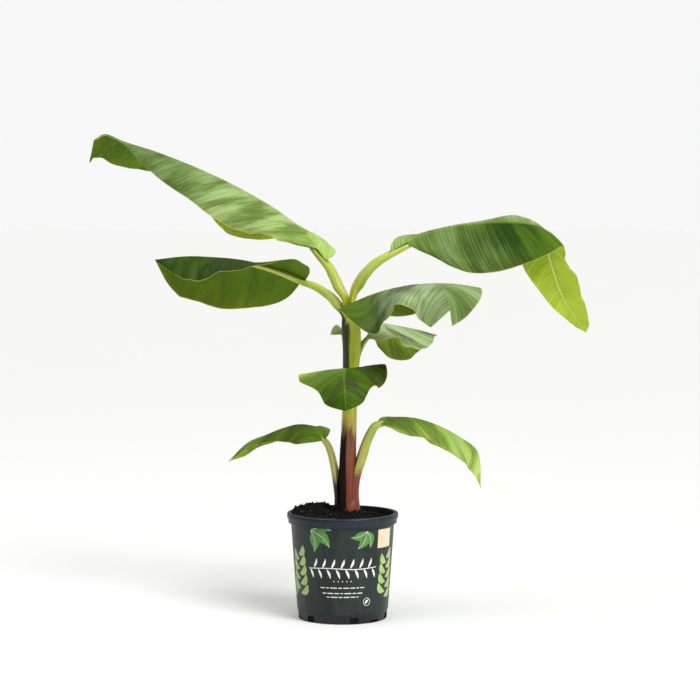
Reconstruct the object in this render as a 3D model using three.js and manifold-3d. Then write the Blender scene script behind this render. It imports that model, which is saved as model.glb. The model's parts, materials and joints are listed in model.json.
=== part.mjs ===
// Young banana plant in a round nursery pot.
//
// Millimetres, +Z up. The origin is the centre of the pot's flat underside and
// -Y is the front. Every leaf follows one rule: a rib curve that starts as the
// leaf stalk, and a left and a right half whose width, hang and curl change
// evenly along the rib.

import * as THREE from 'three';
import { mergeVertices } from 'three/addons/utils/BufferGeometryUtils.js';
import Module from 'manifold-3d';

const wasm = await Module();
wasm.setup();

// ---- driving sizes --------------------------------------------------------
const CLEAR = 0.3;              // gap between pieces that touch
const SPLIT_GAP = 1.2;          // gap in the rib where a bent blade is split
const POT = {
  height: 195, footRadius: 82.3, wallTopRadius: 95, wall: 2.2, floor: 3,
  lipRadius: 102.4, lipHeight: 10, skirtRadius: 100.2, skirtHeight: 8, skirtWall: 2,
  footBand: 16, footStep: 0.9, sides: 52,
};
const SLOT = { deep: 12, wide: 16.5, tall: 11, sill: 1, angles: [45, 105, 165, 225, 285, 345] };
const NOTCH = { deep: 12, wide: 20, tall: 4.4, sill: 0.8, angles: [75, 195, 315] };
const MIX = {
  level: 188, fall: 0.07, rim: 180, gap: 0.7, rings: 9, spokes: 40, seatX: 4, seat: 195, seatRadius: 33, seatBlend: 16,
  mounds: [{ x: -42, y: 34, height: 14, spread: 1700 }, { x: 0, y: -12, height: 4, spread: 2200 }],
};
const STEM = {
  path: [[9, 0, 195.3], [9, 0, 226], [9, 0, 262], [10, 0, 310], [12.5, 0, 375], [14.5, 0, 439], [16.5, 0, 494], [15.5, 0, 536], [12, 0, 561]],
  radius: [20.5, 17.5, 16.5, 15, 13.5, 14.2, 16.2, 17.2, 12],
  sides: 20, steps: 26,
};
const BLADE = {
  stations: 22, across: [0, 0.1, 0.36, 0.68, 1], slender: 100, thinnest: 2, reach: 0.05, leastShare: 0.6, keel: 1.5,
};

const COLOUR = {
  pot: 0x30363b, mix: 0x17120f, stem: 0x7a8a3a, stalk: 0x8fae3c, blade: 0x4f8427,
};

// ---- leaves ---------------------------------------------------------------
// stalk and rib: points of the rib curve; the blade starts at the last stalk
// point. radius: stalk radius at its foot and at the blade. wide, hang and curl
// hold evenly spaced values from the blade's base to its tip: half width in mm,
// and the slope below level, in degrees, at the rib and at the margin. start:
// where a half begins, base and tip: the shares of the length that are rounded
// off, sweep: how far the veins lean to the tip, split: where the blade bends.
const LEAVES = {
  upper_left: {
    stalk: [[4, 4, 578], [-5, 8, 606], [-18, 14, 635], [-31, 22, 659]],
    rib: [[-31, 22, 659], [-72, 60, 710], [-127, 100, 753], [-202, 150, 795], [-273, 190, 828],
      [-352, 230, 859], [-423, 262, 882], [-462, 281, 897], [-486, 290, 886]],
    radius: [12, 9.5], roll: 0, far: 8,
    left: { wide: [62, 68, 84, 86, 72, 58, 36, 6, 2], hang: [-12, 8, 20, 18, 20, 25, 30, 30, 30],
      curl: [30, 45, 70, 72, 78, 85, 90, 80, 60], sweep: 0.3, start: 0.05, base: 0.04, tip: 0.05 },
    right: { wide: [34, 46, 86, 106, 98, 82, 64, 60, 38], hang: [-42, -8, 34, 54, 46, 34, 34, 58, 66],
      curl: [-12, 24, 88, 88, 72, 60, 58, 72, 78], sweep: [0, 0.1, 0.25, 0.3, 0.3, 0.3, 0.3, 0.4, 0.9],
      start: 0, base: 0.04, tip: 0.01 },
  },
  middle_left: {
    stalk: [[4, -4, 548], [-7, -2, 575], [-20, 2, 592], [-41, 8, 607], [-64, 14, 619]],
    rib: [[-64, 14, 619], [-108, 34, 637], [-150, 54, 650], [-191, 74, 658], [-239, 98, 662],
      [-297, 125, 663], [-356, 152, 656]],
    radius: [11.5, 8.5], roll: 0, far: 6,
    left: { wide: [44, 50, 52, 60, 62, 70, 68, 52, 30], hang: [-50, -50, -30, 0, 8, 20, 24, 24, 24],
      curl: [-40, -42, -12, 20, 30, 50, 55, 50, 45],
      sweep: [-0.55, -0.5, -0.55, -0.3, -0.3, -0.2, -0.25, -0.2, 0], start: 0.02, base: 0.05, tip: 0.2 },
    right: { wide: [84, 80, 93, 98, 88, 76, 68], hang: [60, 65, 70, 75, 75, 75, 75],
      curl: [80, 85, 90, 90, 90, 90, 80], sweep: 0.2, start: 0.04, base: 0.2, tip: 0.2 },
  },
  upper_right: {
    stalk: [[17, 2, 582], [25, 2, 608], [38, 4, 632], [59, 8, 654], [89, 14, 674]],
    rib: [[89, 14, 674], [120, 22, 692], [161, 32, 710], [217, 50, 722], [274, 74, 727], [323, 104, 726],
      [367, 138, 720], [392, 162, 703], [393, 172, 672], [405, 178, 628], [423, 186, 582],
      [467, 199, 515]],
    radius: [13.5, 9], roll: [0, 0, 0, 0, 5, 25, 34, 34, 34], far: 6, split: 0.6,
    left: { wide: [20, 48, 88, 98, 94, 80, 46, 25, 5], hang: [-40, -12, -10, -18, -46, -46, 10, 10, 10],
      curl: [-40, 40, 60, 40, 40, 20, 20, 20, 20],
      sweep: [0.35, 0.35, 0.35, 0.5, 0.6, 0.5, 0.35, 0.35, 0.35], start: 0, base: 0.03, tip: 0.05 },
    right: { wide: [60, 92, 102, 92, 74, 52, 50, 40, 12], hang: [30, 45, 48, 44, 34, 20, 5, 5, 5],
      curl: [60, 85, 85, 78, 66, 50, 20, 20, 20], sweep: 0.35, start: 0.06, base: 0.1, tip: 0.05 },
  },
  front_arching: {
    stalk: [[15, -12, 528], [15, -17, 549], [17, -24, 567], [19, -35, 582]],
    rib: [[19, -35, 582], [61, -58, 601], [103, -84, 613], [138, -112, 619], [167, -145, 619],
      [184, -172, 604], [189, -182, 576]],
    radius: [9.5, 7], roll: 0, far: 4,
    left: { wide: [50, 80, 88, 88, 83, 79, 46, 16], hang: [-5, 6, 10, 6, 2, -5, -4, 20],
      curl: [10, 60, 55, 45, 30, 10, 30, 50], sweep: [-0.6, 0.1, 0.3, 0.35, 0.4, 0.5, 0.8, 1.6], start: 0,
      base: 0.02, tip: 0.01 },
    right: { wide: [44, 80, 72, 78, 86, 80, 64, 36], hang: [-4, 62, 40, 26, 16, 22, 44, 50],
      curl: [16, 68, 66, 40, 28, 40, 60, 60], sweep: [-0.2, 0, 0.15, 0.2, 0.2, 0.3, 0.5, 0.8], start: 0,
      base: 0.02, tip: 0.01 },
  },
  back_right: {
    stalk: [[25, 4, 472], [32, 8, 496], [43, 16, 515]],
    rib: [[43, 16, 515], [56, 36, 537], [75, 60, 540], [107, 95, 533], [142, 130, 524], [179, 160, 513]],
    radius: [7, 5], roll: 0, far: 5,
    left: { wide: [40, 44, 62, 62, 50, 36], hang: [30, 60, 70, 75, 70, 60],
      curl: [60, 80, 85, 85, 80, 70], sweep: 0.3, start: 0, base: 0.15, tip: 0.35 },
    right: { wide: [50, 60, 70, 66, 44, 16], hang: [25, 36, 38, 34, 25, 10],
      curl: [30, 36, 36, 30, 20, 10], sweep: 0.1, start: 0, base: 0.1, tip: 0.3 },
  },
  front_drooping: {
    stalk: [[10, -14, 400], [10, -24, 426], [8, -36, 449], [6, -52, 461]],
    rib: [[6, -52, 461], [5, -75, 466], [4, -105, 463], [3, -130, 449], [5, -145, 425], [6, -152, 396]],
    radius: [8, 6], roll: 0, far: 5,
    left: { wide: [72, 78, 70, 54, 39, 26], hang: [-10, -2, 8, 10, 15, 20],
      curl: [-10, 30, 40, 20, 20, 20], sweep: 0.05, start: 0, base: 0.05, tip: 0.14 },
    right: { wide: [82, 86, 85, 79, 65, 52, 46, 40, 36], hang: [0, 4, 8, 10, 14, 17, 19, 20, 20],
      curl: [10, 16, 22, 27, 30, 30, 28, 24, 20], sweep: 0.05, start: 0, base: 0.05, tip: 0.14 },
  },
  lower_left: {
    stalk: [[-15, -2, 195.3], [-15, -2, 244], [-16, 0, 277], [-22, 4, 306], [-33, 8, 328]],
    rib: [[-33, 8, 328], [-53, 18, 347], [-79, 32, 354], [-109, 48, 346], [-143, 66, 331],
      [-180, 86, 313], [-215, 108, 277]],
    radius: [9, 6.2], roll: 0, far: 6,
    left: { wide: [44, 42, 32, 20, 14, 12, 8], hang: [30, 45, 45, 40, 40, 40, 30],
      curl: [70, 85, 80, 70, 60, 50, 40], sweep: 0.3, start: 0, base: 0.08, tip: 0.25 },
    right: { wide: [28, 36, 42, 38, 27, 22, 20, 20, 14], hang: [-28, -12, -1, 9, 18, 28, 37, 43, 40],
      curl: [-20, 30, 56, 60, 62, 64, 62, 57, 50], sweep: 0.3, start: 0, base: 0.03, tip: 0.25 },
  },
  lower_right: {
    stalk: [[19, -6, 218], [25.5, -6, 255], [32, -4, 286], [41, -2, 318], [53, 0, 345], [66, 4, 360]],
    rib: [[66, 4, 360], [98, 10, 369], [134, 16, 367], [174, 22, 354], [215, 28, 332], [251, 34, 301],
      [257, 40, 235]],
    radius: [13.5, 8], roll: 0, far: 6,
    left: { wide: [18, 44, 54, 52, 46, 34, 14], hang: [-20, 0, 20, 25, 25, 25, 25],
      curl: [-10, 50, 60, 60, 60, 60, 50], sweep: 0.3, start: 0, base: 0.03, tip: 0.3 },
    right: { wide: [32, 38, 35, 39, 41, 34, 14], hang: [25, 48, 44, 46, 52, 52, 40],
      curl: [50, 75, 75, 72, 70, 60, 50], sweep: 0.3, start: 0, base: 0.08, tip: 0.3 },
  },
  small_back: {
    stalk: [[14, 14, 490], [8, 22, 508], [1, 32, 522]],
    rib: [[1, 32, 522], [-7, 48, 534], [-12, 66, 537], [-15, 84, 530], [-16, 98, 516]],
    radius: [6, 4], roll: 0, far: 4,
    left: { wide: [14, 20, 20, 16, 8], hang: [0, 20, 30, 30, 30], curl: [40, 80, 90, 80, 60], sweep: 0.2,
      start: 0, base: 0.1, tip: 0.3 },
    right: { wide: [14, 20, 20, 16, 8], hang: [0, 20, 30, 30, 30], curl: [40, 80, 90, 80, 60], sweep: 0.2,
      start: 0, base: 0.1, tip: 0.3 },
  },
};

// ---- helpers --------------------------------------------------------------
const rad = THREE.MathUtils.degToRad;
const clamp = THREE.MathUtils.clamp;
const curveOf = points => new THREE.CatmullRomCurve3(points.map(p => new THREE.Vector3(...p)), false, 'catmullrom', 0.5);

// Smooth value at share s of a row of evenly spaced values.
function along(values, s) {
  if (typeof values === 'number') return values;
  const last = values.length - 1;
  const x = clamp(s, 0, 1) * last;
  const i = Math.min(Math.floor(x), last - 1);
  const t = x - i;
  const b = values[i], c = values[i + 1];
  const a = i > 0 ? values[i - 1] : 2 * b - c;
  const d = i + 2 <= last ? values[i + 2] : 2 * c - b;
  return 0.5 * (2 * b + (c - a) * t + (2 * a - 5 * b + 4 * c - d) * t * t + (3 * b - a - 3 * c + d) * t * t * t);
}

// Share of the full width left at s, where the base and the tip are rounded.
function rounding(s, half) {
  const x = clamp((s - half.start) / (1 - half.start), 0, 1);
  const base = Math.sqrt(Math.max(0, 1 - (1 - Math.min(x / half.base, 1)) ** 2));
  const tip = 1 - (Math.max(0, x - (1 - half.tip)) / half.tip) ** 2;
  return base * tip;
}

class Rib {
  constructor(leaf) {
    this.leaf = leaf;
    const points = [...leaf.stalk, ...leaf.rib.slice(1)];
    const steps = 40 * (points.length - 1);
    const curve = curveOf(points);
    this.dots = Array.from({ length: steps + 1 }, (_, i) => curve.getPoint(i / steps));
    this.run = [0];
    for (let i = 1; i <= steps; i++) this.run.push(this.run[i - 1] + this.dots[i].distanceTo(this.dots[i - 1]));
    this.stalkLength = this.run[40 * (leaf.stalk.length - 1)];
    this.length = this.run[steps] - this.stalkLength;
    const heading = new THREE.Vector3(...leaf.rib[leaf.far]).sub(new THREE.Vector3(...leaf.rib[0]));
    this.side = new THREE.Vector3(heading.y, -heading.x, 0).normalize();
  }

  // Point of the rib curve at share s of the blade; below 0 is the stalk.
  at(s) {
    const x = clamp(this.stalkLength + s * this.length, 0, this.run[this.run.length - 1]);
    let lo = 0, hi = this.run.length - 1;
    while (hi - lo > 1) { const mid = (lo + hi) >> 1; if (this.run[mid] <= x) lo = mid; else hi = mid; }
    return this.dots[lo].clone().lerp(this.dots[hi], (x - this.run[lo]) / (this.run[hi] - this.run[lo]));
  }

  // Directions of the leaf at s: along it, to its right and out of its upper side.
  frame(s) {
    const T = this.at(s + BLADE.reach).sub(this.at(s - BLADE.reach)).normalize();
    const R = this.side.clone().addScaledVector(T, -T.dot(this.side)).normalize();
    const U = new THREE.Vector3().crossVectors(R, T);
    const roll = rad(along(this.leaf.roll, s));
    const turned = R.multiplyScalar(Math.cos(roll)).addScaledVector(U, Math.sin(roll));
    return [T, turned, new THREE.Vector3().crossVectors(turned, T)];
  }

  // Middle of the blade at share s along it and m across it, -1 left to 1 right.
  surface(s, m) {
    const half = m < 0 ? this.leaf.left : this.leaf.right;
    const a = Math.abs(m), sign = m < 0 ? -1 : 1;
    const [T, R, U] = this.frame(s);
    const w = Math.max(along(half.wide, s) * rounding(s, half), this.leaf.radius[1] * BLADE.leastShare);
    const a0 = rad(along(half.hang, s));
    let turn = rad(along(half.curl, s)) - a0;
    if (Math.abs(turn) < 1e-4) turn = 1e-4;
    const a1 = a0 + turn * a;
    const out = (Math.sin(a1) - Math.sin(a0)) / turn;
    const down = (Math.cos(a0) - Math.cos(a1)) / turn;
    return this.at(s).addScaledVector(R, sign * w * out).addScaledVector(U, -w * down)
      .addScaledVector(T, w * along(half.sweep, s) * a * a);
  }
}

// Closed body from a skin of rings, closed at both ends by a fan, or for a flat
// ring (upper row, then lower row back) by a row of quads.
function solidFromRings(rings, flat = false) {
  const n = rings[0].length, at = (i, j) => i * n + (j % n);
  const vertices = rings.flat().flatMap(v => [v.x, v.y, v.z]);
  const faces = [];
  for (let i = 0; i + 1 < rings.length; i++)
    for (let j = 0; j < n; j++)
      faces.push(at(i, j), at(i, j + 1), at(i + 1, j + 1), at(i, j), at(i + 1, j + 1), at(i + 1, j));
  const last = rings.length - 1;
  const end = (ring, i, flip) => {
    if (flat) {
      for (let j = 0; j + 1 < n / 2; j++) {
        const [a, b, c, d] = [at(i, j), at(i, j + 1), at(i, n - 2 - j), at(i, n - 1 - j)];
        faces.push(...(flip ? [a, c, b, a, d, c] : [a, b, c, a, c, d]));
      }
      return;
    }
    const c = ring.reduce((sum, v) => sum.add(v), new THREE.Vector3()).divideScalar(n);
    const k = vertices.length / 3;
    vertices.push(c.x, c.y, c.z);
    for (let j = 0; j < n; j++) faces.push(...(flip ? [k, at(i, j + 1), at(i, j)] : [k, at(i, j), at(i, j + 1)]));
  };
  end(rings[0], 0, true);
  end(rings[last], last, false);
  return geometryOf(vertices, faces);
}

function geometryOf(vertices, faces) {
  const geometry = new THREE.BufferGeometry();
  geometry.setAttribute('position', new THREE.Float32BufferAttribute(vertices, 3));
  geometry.setIndex(faces);
  return geometry;
}

function toManifold(geometry) {
  const bare = geometry.clone();
  bare.deleteAttribute('normal');
  bare.deleteAttribute('uv');
  const merged = mergeVertices(bare, 1e-3);
  return new wasm.Manifold(new wasm.Mesh({
    numProp: 3,
    vertProperties: new Float32Array(merged.attributes.position.array),
    triVerts: new Uint32Array(merged.index.array),
  }));
}

function fromManifold(solid) {
  const mesh = solid.getMesh();
  return geometryOf(Array.from(mesh.vertProperties), Array.from(mesh.triVerts));
}

// Biggest piece left by a cut.
function mainPiece(solid) {
  return solid.decompose().sort((a, b) => b.volume() - a.volume())[0];
}

// Tapered limb along a curve. grow widens it evenly, for cutting its neighbours,
// and facing is the direction its far end is cut square to.
function limb(pointAt, radiusAt, steps, sides, grow = 0, facing = null) {
  const rings = [];
  let side = null;
  for (let i = 0; i <= steps; i++) {
    const u = i / steps;
    const T = i === steps && facing ? facing.clone()
      : pointAt(Math.min(1, u + 0.01)).sub(pointAt(Math.max(0, u - 0.01))).normalize();
    side ??= new THREE.Vector3(0, -1, 0);
    side = side.addScaledVector(T, -T.dot(side)).normalize();
    const other = new THREE.Vector3().crossVectors(T, side);
    const centre = pointAt(u).addScaledVector(T, i === 0 ? -grow : i === steps ? grow : 0);
    const r = radiusAt(u) + grow;
    rings.push(Array.from({ length: sides }, (_, j) => {
      const a = 2 * Math.PI * j / sides;
      return centre.clone().addScaledVector(side, r * Math.cos(a)).addScaledVector(other, r * Math.sin(a));
    }));
  }
  return solidFromRings(rings);
}

// ---- pot ------------------------------------------------------------------
const wallRadius = z => POT.footRadius + (POT.wallTopRadius - POT.footRadius) * z / (POT.height - POT.lipHeight - POT.skirtHeight);
const innerRadius = z => wallRadius(z) - POT.wall;

function potGeometry() {
  const lipFoot = POT.height - POT.lipHeight;
  const skirtFoot = lipFoot - POT.skirtHeight;
  const profile = [
    [0, 0], [POT.footRadius - 2, 0], [POT.footRadius - POT.footStep, 1.6],
    [wallRadius(POT.footBand) - POT.footStep, POT.footBand], [wallRadius(POT.footBand + 0.6), POT.footBand + 0.6],
    [wallRadius(POT.height - 4), POT.height - 4], [POT.skirtRadius - POT.skirtWall, POT.height - 4],
    [POT.skirtRadius - POT.skirtWall, skirtFoot], [POT.skirtRadius, skirtFoot], [POT.skirtRadius, lipFoot],
    [POT.lipRadius, lipFoot + 0.5], [POT.lipRadius, POT.height - 1.5], [POT.lipRadius - 1.5, POT.height],
    [innerRadius(POT.height) + 0.8, POT.height], [innerRadius(POT.height), POT.height - 1],
    [innerRadius(POT.floor), POT.floor], [0, POT.floor],
  ];
  const cup = toManifold(new THREE.LatheGeometry(
    profile.map(([r, z]) => new THREE.Vector2(r, z)), POT.sides).rotateX(Math.PI / 2));
  // drainage slots low in the wall, and shallow notches between them
  const slots = [SLOT, NOTCH].flatMap(cut => cut.angles.map(angle => {
    const slot = new THREE.BoxGeometry(cut.deep, cut.wide, cut.tall);
    slot.translate(POT.footRadius - 1, 0, cut.sill + cut.tall / 2).rotateZ(rad(angle));
    return toManifold(slot);
  }));
  return fromManifold(slots.reduce((solid, slot) => solid.subtract(slot), cup));
}

// ---- potting mix ----------------------------------------------------------
function mixHeight(x, y) {
  const mound = MIX.mounds.reduce((sum, m) =>
    sum + m.height * Math.exp(-((x - m.x) ** 2 + (y - m.y) ** 2) / m.spread), 0);
  const lumps = 1.4 * Math.sin(x / 9 + 1.3) * Math.cos(y / 8) + 0.9 * Math.sin((x + y) / 5.3);
  const free = MIX.level - MIX.fall * x + mound + lumps;
  const fromStem = Math.hypot(x - MIX.seatX, y);
  const blend = THREE.MathUtils.smoothstep(fromStem, MIX.seatRadius, MIX.seatRadius + MIX.seatBlend);
  return MIX.seat + (free - MIX.seat) * blend;
}

function mixGeometry() {
  const foot = POT.floor + CLEAR;
  const footRadius = innerRadius(foot) - MIX.gap;
  const ring = (pointAt) => Array.from({ length: MIX.spokes }, (_, j) => pointAt(2 * Math.PI * j / MIX.spokes));
  const rings = [
    ring(a => new THREE.Vector3(footRadius * Math.cos(a), footRadius * Math.sin(a), foot)),
  ];
  for (let k = MIX.rings; k > 0; k--) {
    rings.push(ring(a => {
      const r = (innerRadius(MIX.rim) - MIX.gap) * k / MIX.rings;
      const [x, y] = [r * Math.cos(a), r * Math.sin(a)];
      return new THREE.Vector3(x, y, mixHeight(x, y));
    }));
  }
  return solidFromRings(rings);
}

// ---- stem, stalks and blades ----------------------------------------------
const stemCurve = curveOf(STEM.path);
const stem = grow => limb(u => stemCurve.getPoint(u), u => along(STEM.radius, u), STEM.steps, STEM.sides, grow);

const ribs = Object.fromEntries(Object.entries(LEAVES).map(([name, leaf]) => [name, new Rib(leaf)]));

function stalk(rib, setBack, grow = 0) {
  const [foot, top] = rib.leaf.radius;
  const from = -rib.stalkLength / rib.length;
  const to = -setBack / rib.length;
  const steps = Math.max(5, Math.round(rib.stalkLength / 13));
  return limb(u => rib.at(from + (to - from) * u), u => foot + (top - foot) * u, steps, 12, grow, rib.frame(0)[0]);
}

const thickness = rib => Math.max(BLADE.thinnest, rib.length / BLADE.slender);

function blade(rib, from, to) {
  const thick = thickness(rib);
  const across = [...BLADE.across.slice(1).reverse().map(m => -m), ...BLADE.across];
  const count = Math.max(6, Math.round(BLADE.stations * Math.sqrt((to - from) * Math.min(1, rib.length / 260))));
  const eps = 2e-3;
  const rings = [];
  for (let i = 0; i <= count; i++) {
    const x = i / count;
    const s = from + (to - from) * (x - 0.6 * Math.sin(2 * Math.PI * x) / (2 * Math.PI));
    const up = rib.frame(s)[2];
    const upper = [], lower = [];
    for (const m of across) {
      const P = rib.surface(s, m);
      const ds = rib.surface(Math.min(1, s + eps), m).sub(rib.surface(Math.max(0, s - eps), m));
      const inner = Math.abs(m) < 0.05 ? 0.05 : 0;
      const dm = rib.surface(s, Math.min(1, m + 0.02 + inner)).sub(rib.surface(s, Math.max(-1, m - 0.02 - inner)));
      const n = new THREE.Vector3().crossVectors(dm, ds);
      if (m === 0 || n.lengthSq() < 1e-12) n.copy(up); else n.normalize();
      const keel = m === 0 ? THREE.MathUtils.lerp(rib.leaf.radius[1] * BLADE.keel, 1, s) : 0;
      upper.push(P.clone().addScaledVector(n, thick / 2));
      lower.push(P.clone().addScaledVector(n, -thick / 2 - keel));
    }
    rings.push([...upper, ...lower.reverse()]);
  }
  return solidFromRings(rings, true);
}

// ---- assembly -------------------------------------------------------------
const plant = new THREE.Group();
const finish = (color, roughness) => new THREE.MeshStandardMaterial({ color, roughness, metalness: 0 });

function add(name, geometry, color, roughness) {
  const mesh = new THREE.Mesh(geometry, finish(color, roughness));
  mesh.name = name;
  plant.add(mesh);
}

add('pot', potGeometry(), COLOUR.pot, 0.45);
add('potting_mix', mixGeometry(), COLOUR.mix, 0.95);
add('stem', stem(0), COLOUR.stem, 0.5);

const blades = {};
for (const [name, rib] of Object.entries(ribs)) {
  const { split } = rib.leaf;
  if (split) {
    const gap = SPLIT_GAP / 2 / rib.length;
    blades[name] = blade(rib, 0, split - gap);
    blades[`${name}_tip`] = blade(rib, split + gap, 1);
  } else {
    blades[name] = blade(rib, 0, 1);
  }
}

// Each stalk stops just short of its blade, and is cut clear of the stem and of
// the stalks placed before it.
const cutters = [toManifold(stem(CLEAR))];
const stalkOrder = ['upper_right', 'upper_left', 'middle_left', 'front_arching', 'back_right',
  'front_drooping', 'lower_left', 'lower_right', 'small_back'];
for (const name of stalkOrder) {
  const rib = ribs[name];
  const ownBlade = toManifold(blades[name]);
  let setBack = CLEAR;
  while (setBack < 8 && toManifold(stalk(rib, setBack)).minGap(ownBlade, 1) < CLEAR - 0.02) setBack += 0.1;
  const cut = cutters.reduce((solid, cutter) => solid.subtract(cutter), toManifold(stalk(rib, setBack)));
  add(`stalk_${name}`, fromManifold(mainPiece(cut)), COLOUR.stalk, 0.45);
  cutters.push(toManifold(stalk(rib, setBack, CLEAR)));
}

for (const [name, geometry] of Object.entries(blades)) add(`blade_${name}`, geometry, COLOUR.blade, 0.4);

export default plant;
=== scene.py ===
"""Young banana plant in a round nursery pot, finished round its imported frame.

Metres, +Z up. The origin is the centre of the pot's flat underside and -Y is
the front. The tables hold millimetres. Each leaf follows one rule: a rib curve
that starts as the leaf stalk, and a left and a right half whose width, hang and
curl change evenly along the rib.
"""

import json
import math

import bmesh
import bpy
import numpy as np
from bpy.props import FloatProperty, FloatVectorProperty, IntProperty, PointerProperty
from mathutils import Matrix

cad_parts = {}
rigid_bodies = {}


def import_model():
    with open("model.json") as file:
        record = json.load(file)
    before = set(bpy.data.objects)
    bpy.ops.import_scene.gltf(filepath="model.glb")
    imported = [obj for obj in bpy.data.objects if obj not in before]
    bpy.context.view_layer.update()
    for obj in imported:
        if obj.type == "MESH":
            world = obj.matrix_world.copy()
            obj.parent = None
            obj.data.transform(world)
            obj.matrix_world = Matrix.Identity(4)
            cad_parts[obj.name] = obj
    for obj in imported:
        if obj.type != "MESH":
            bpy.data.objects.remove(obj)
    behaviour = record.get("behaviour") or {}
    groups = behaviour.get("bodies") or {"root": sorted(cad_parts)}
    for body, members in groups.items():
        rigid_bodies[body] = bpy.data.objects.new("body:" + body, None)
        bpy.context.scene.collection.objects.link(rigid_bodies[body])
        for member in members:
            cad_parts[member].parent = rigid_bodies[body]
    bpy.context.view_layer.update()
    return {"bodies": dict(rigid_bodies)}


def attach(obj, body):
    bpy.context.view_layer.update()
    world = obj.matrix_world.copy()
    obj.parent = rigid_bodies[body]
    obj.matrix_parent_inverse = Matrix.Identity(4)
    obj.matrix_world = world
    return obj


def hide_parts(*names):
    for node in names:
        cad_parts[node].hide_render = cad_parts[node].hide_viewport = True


bl_info = {
    "name": "Potted Banana Plant",
    "version": (1, 0, 0),
    "blender": (4, 5, 0),
    "location": "View3D > Sidebar > Banana Plant",
    "description": "Builds a young banana plant in its nursery pot",
    "category": "Add Mesh",
}

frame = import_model()

MM = 0.001
TAU = 2 * math.pi
BODY = next(iter(frame["bodies"]))

# ---- sizes shared with the solids ------------------------------------------
POT = {
    "height": 195, "foot_radius": 82.3, "wall_top_radius": 95, "wall": 2.2, "floor": 3,
    "lip_radius": 102.4, "lip_height": 10, "skirt_radius": 100.2, "skirt_height": 8,
    "skirt_wall": 2, "foot_band": 16, "band_ease": 0.7, "tuck": 4,
    "wall_levels": (60, 110, 150), "inner_levels": (150, 90), "wear_and_highlight_band": 2.2,
}
# Rounded corners of the pot's outline: how far out and up each point lies from the corner.
CORNERS = {
    "foot": ((-8, 0), (-2, 0), (-0.9, 1.4)), "band": ((-0.9, -0.4), (-0.6, 0)),
    "skirt_inside": ((0, 0.4), (0.5, 0)), "skirt_outside": ((-0.5, 0), (0, 0.5)),
    "skirt_top": ((0, -0.4), (0.4, 0)), "lip_foot": ((-0.8, 0.2), (0, 1)),
    "lip_top": ((0, -2), (-0.4, -0.9), (-1.4, -0.1), (-2.2, 0)),
    "mouth": ((1.2, 0), (0.3, -0.3), (0, -1.2)),
}
SLOT = {"deep": 12, "wide": 16.5, "tall": 11, "sill": 1, "angles": (45, 105, 165, 225, 285, 345)}
NOTCH = {"deep": 12, "wide": 20, "tall": 4.4, "sill": 0.8, "angles": (75, 195, 315)}
MIX = {
    "level": 188, "fall": 0.07, "seat": 195, "seat_x": 4, "seat_radius": 33, "seat_blend": 16,
    "mounds": (
        {"x": -42, "y": 34, "height": 14, "spread": 1700}, {"x": 0, "y": -12, "height": 4, "spread": 2200},
    ),
    "lump": 1.4, "lump_pitch": (9, 8), "lump_phase": 1.3, "dent": 0.9, "dent_pitch": 5.3,
}
STEM = {
    "path": [[9, 0, 195.3], [9, 0, 226], [9, 0, 262], [10, 0, 310], [12.5, 0, 375],
             [14.5, 0, 439], [16.5, 0, 494], [15.5, 0, 536], [12, 0, 561]],
    "radius": [20.5, 17.5, 16.5, 15, 13.5, 14.2, 16.2, 17.2, 12],
}

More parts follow.
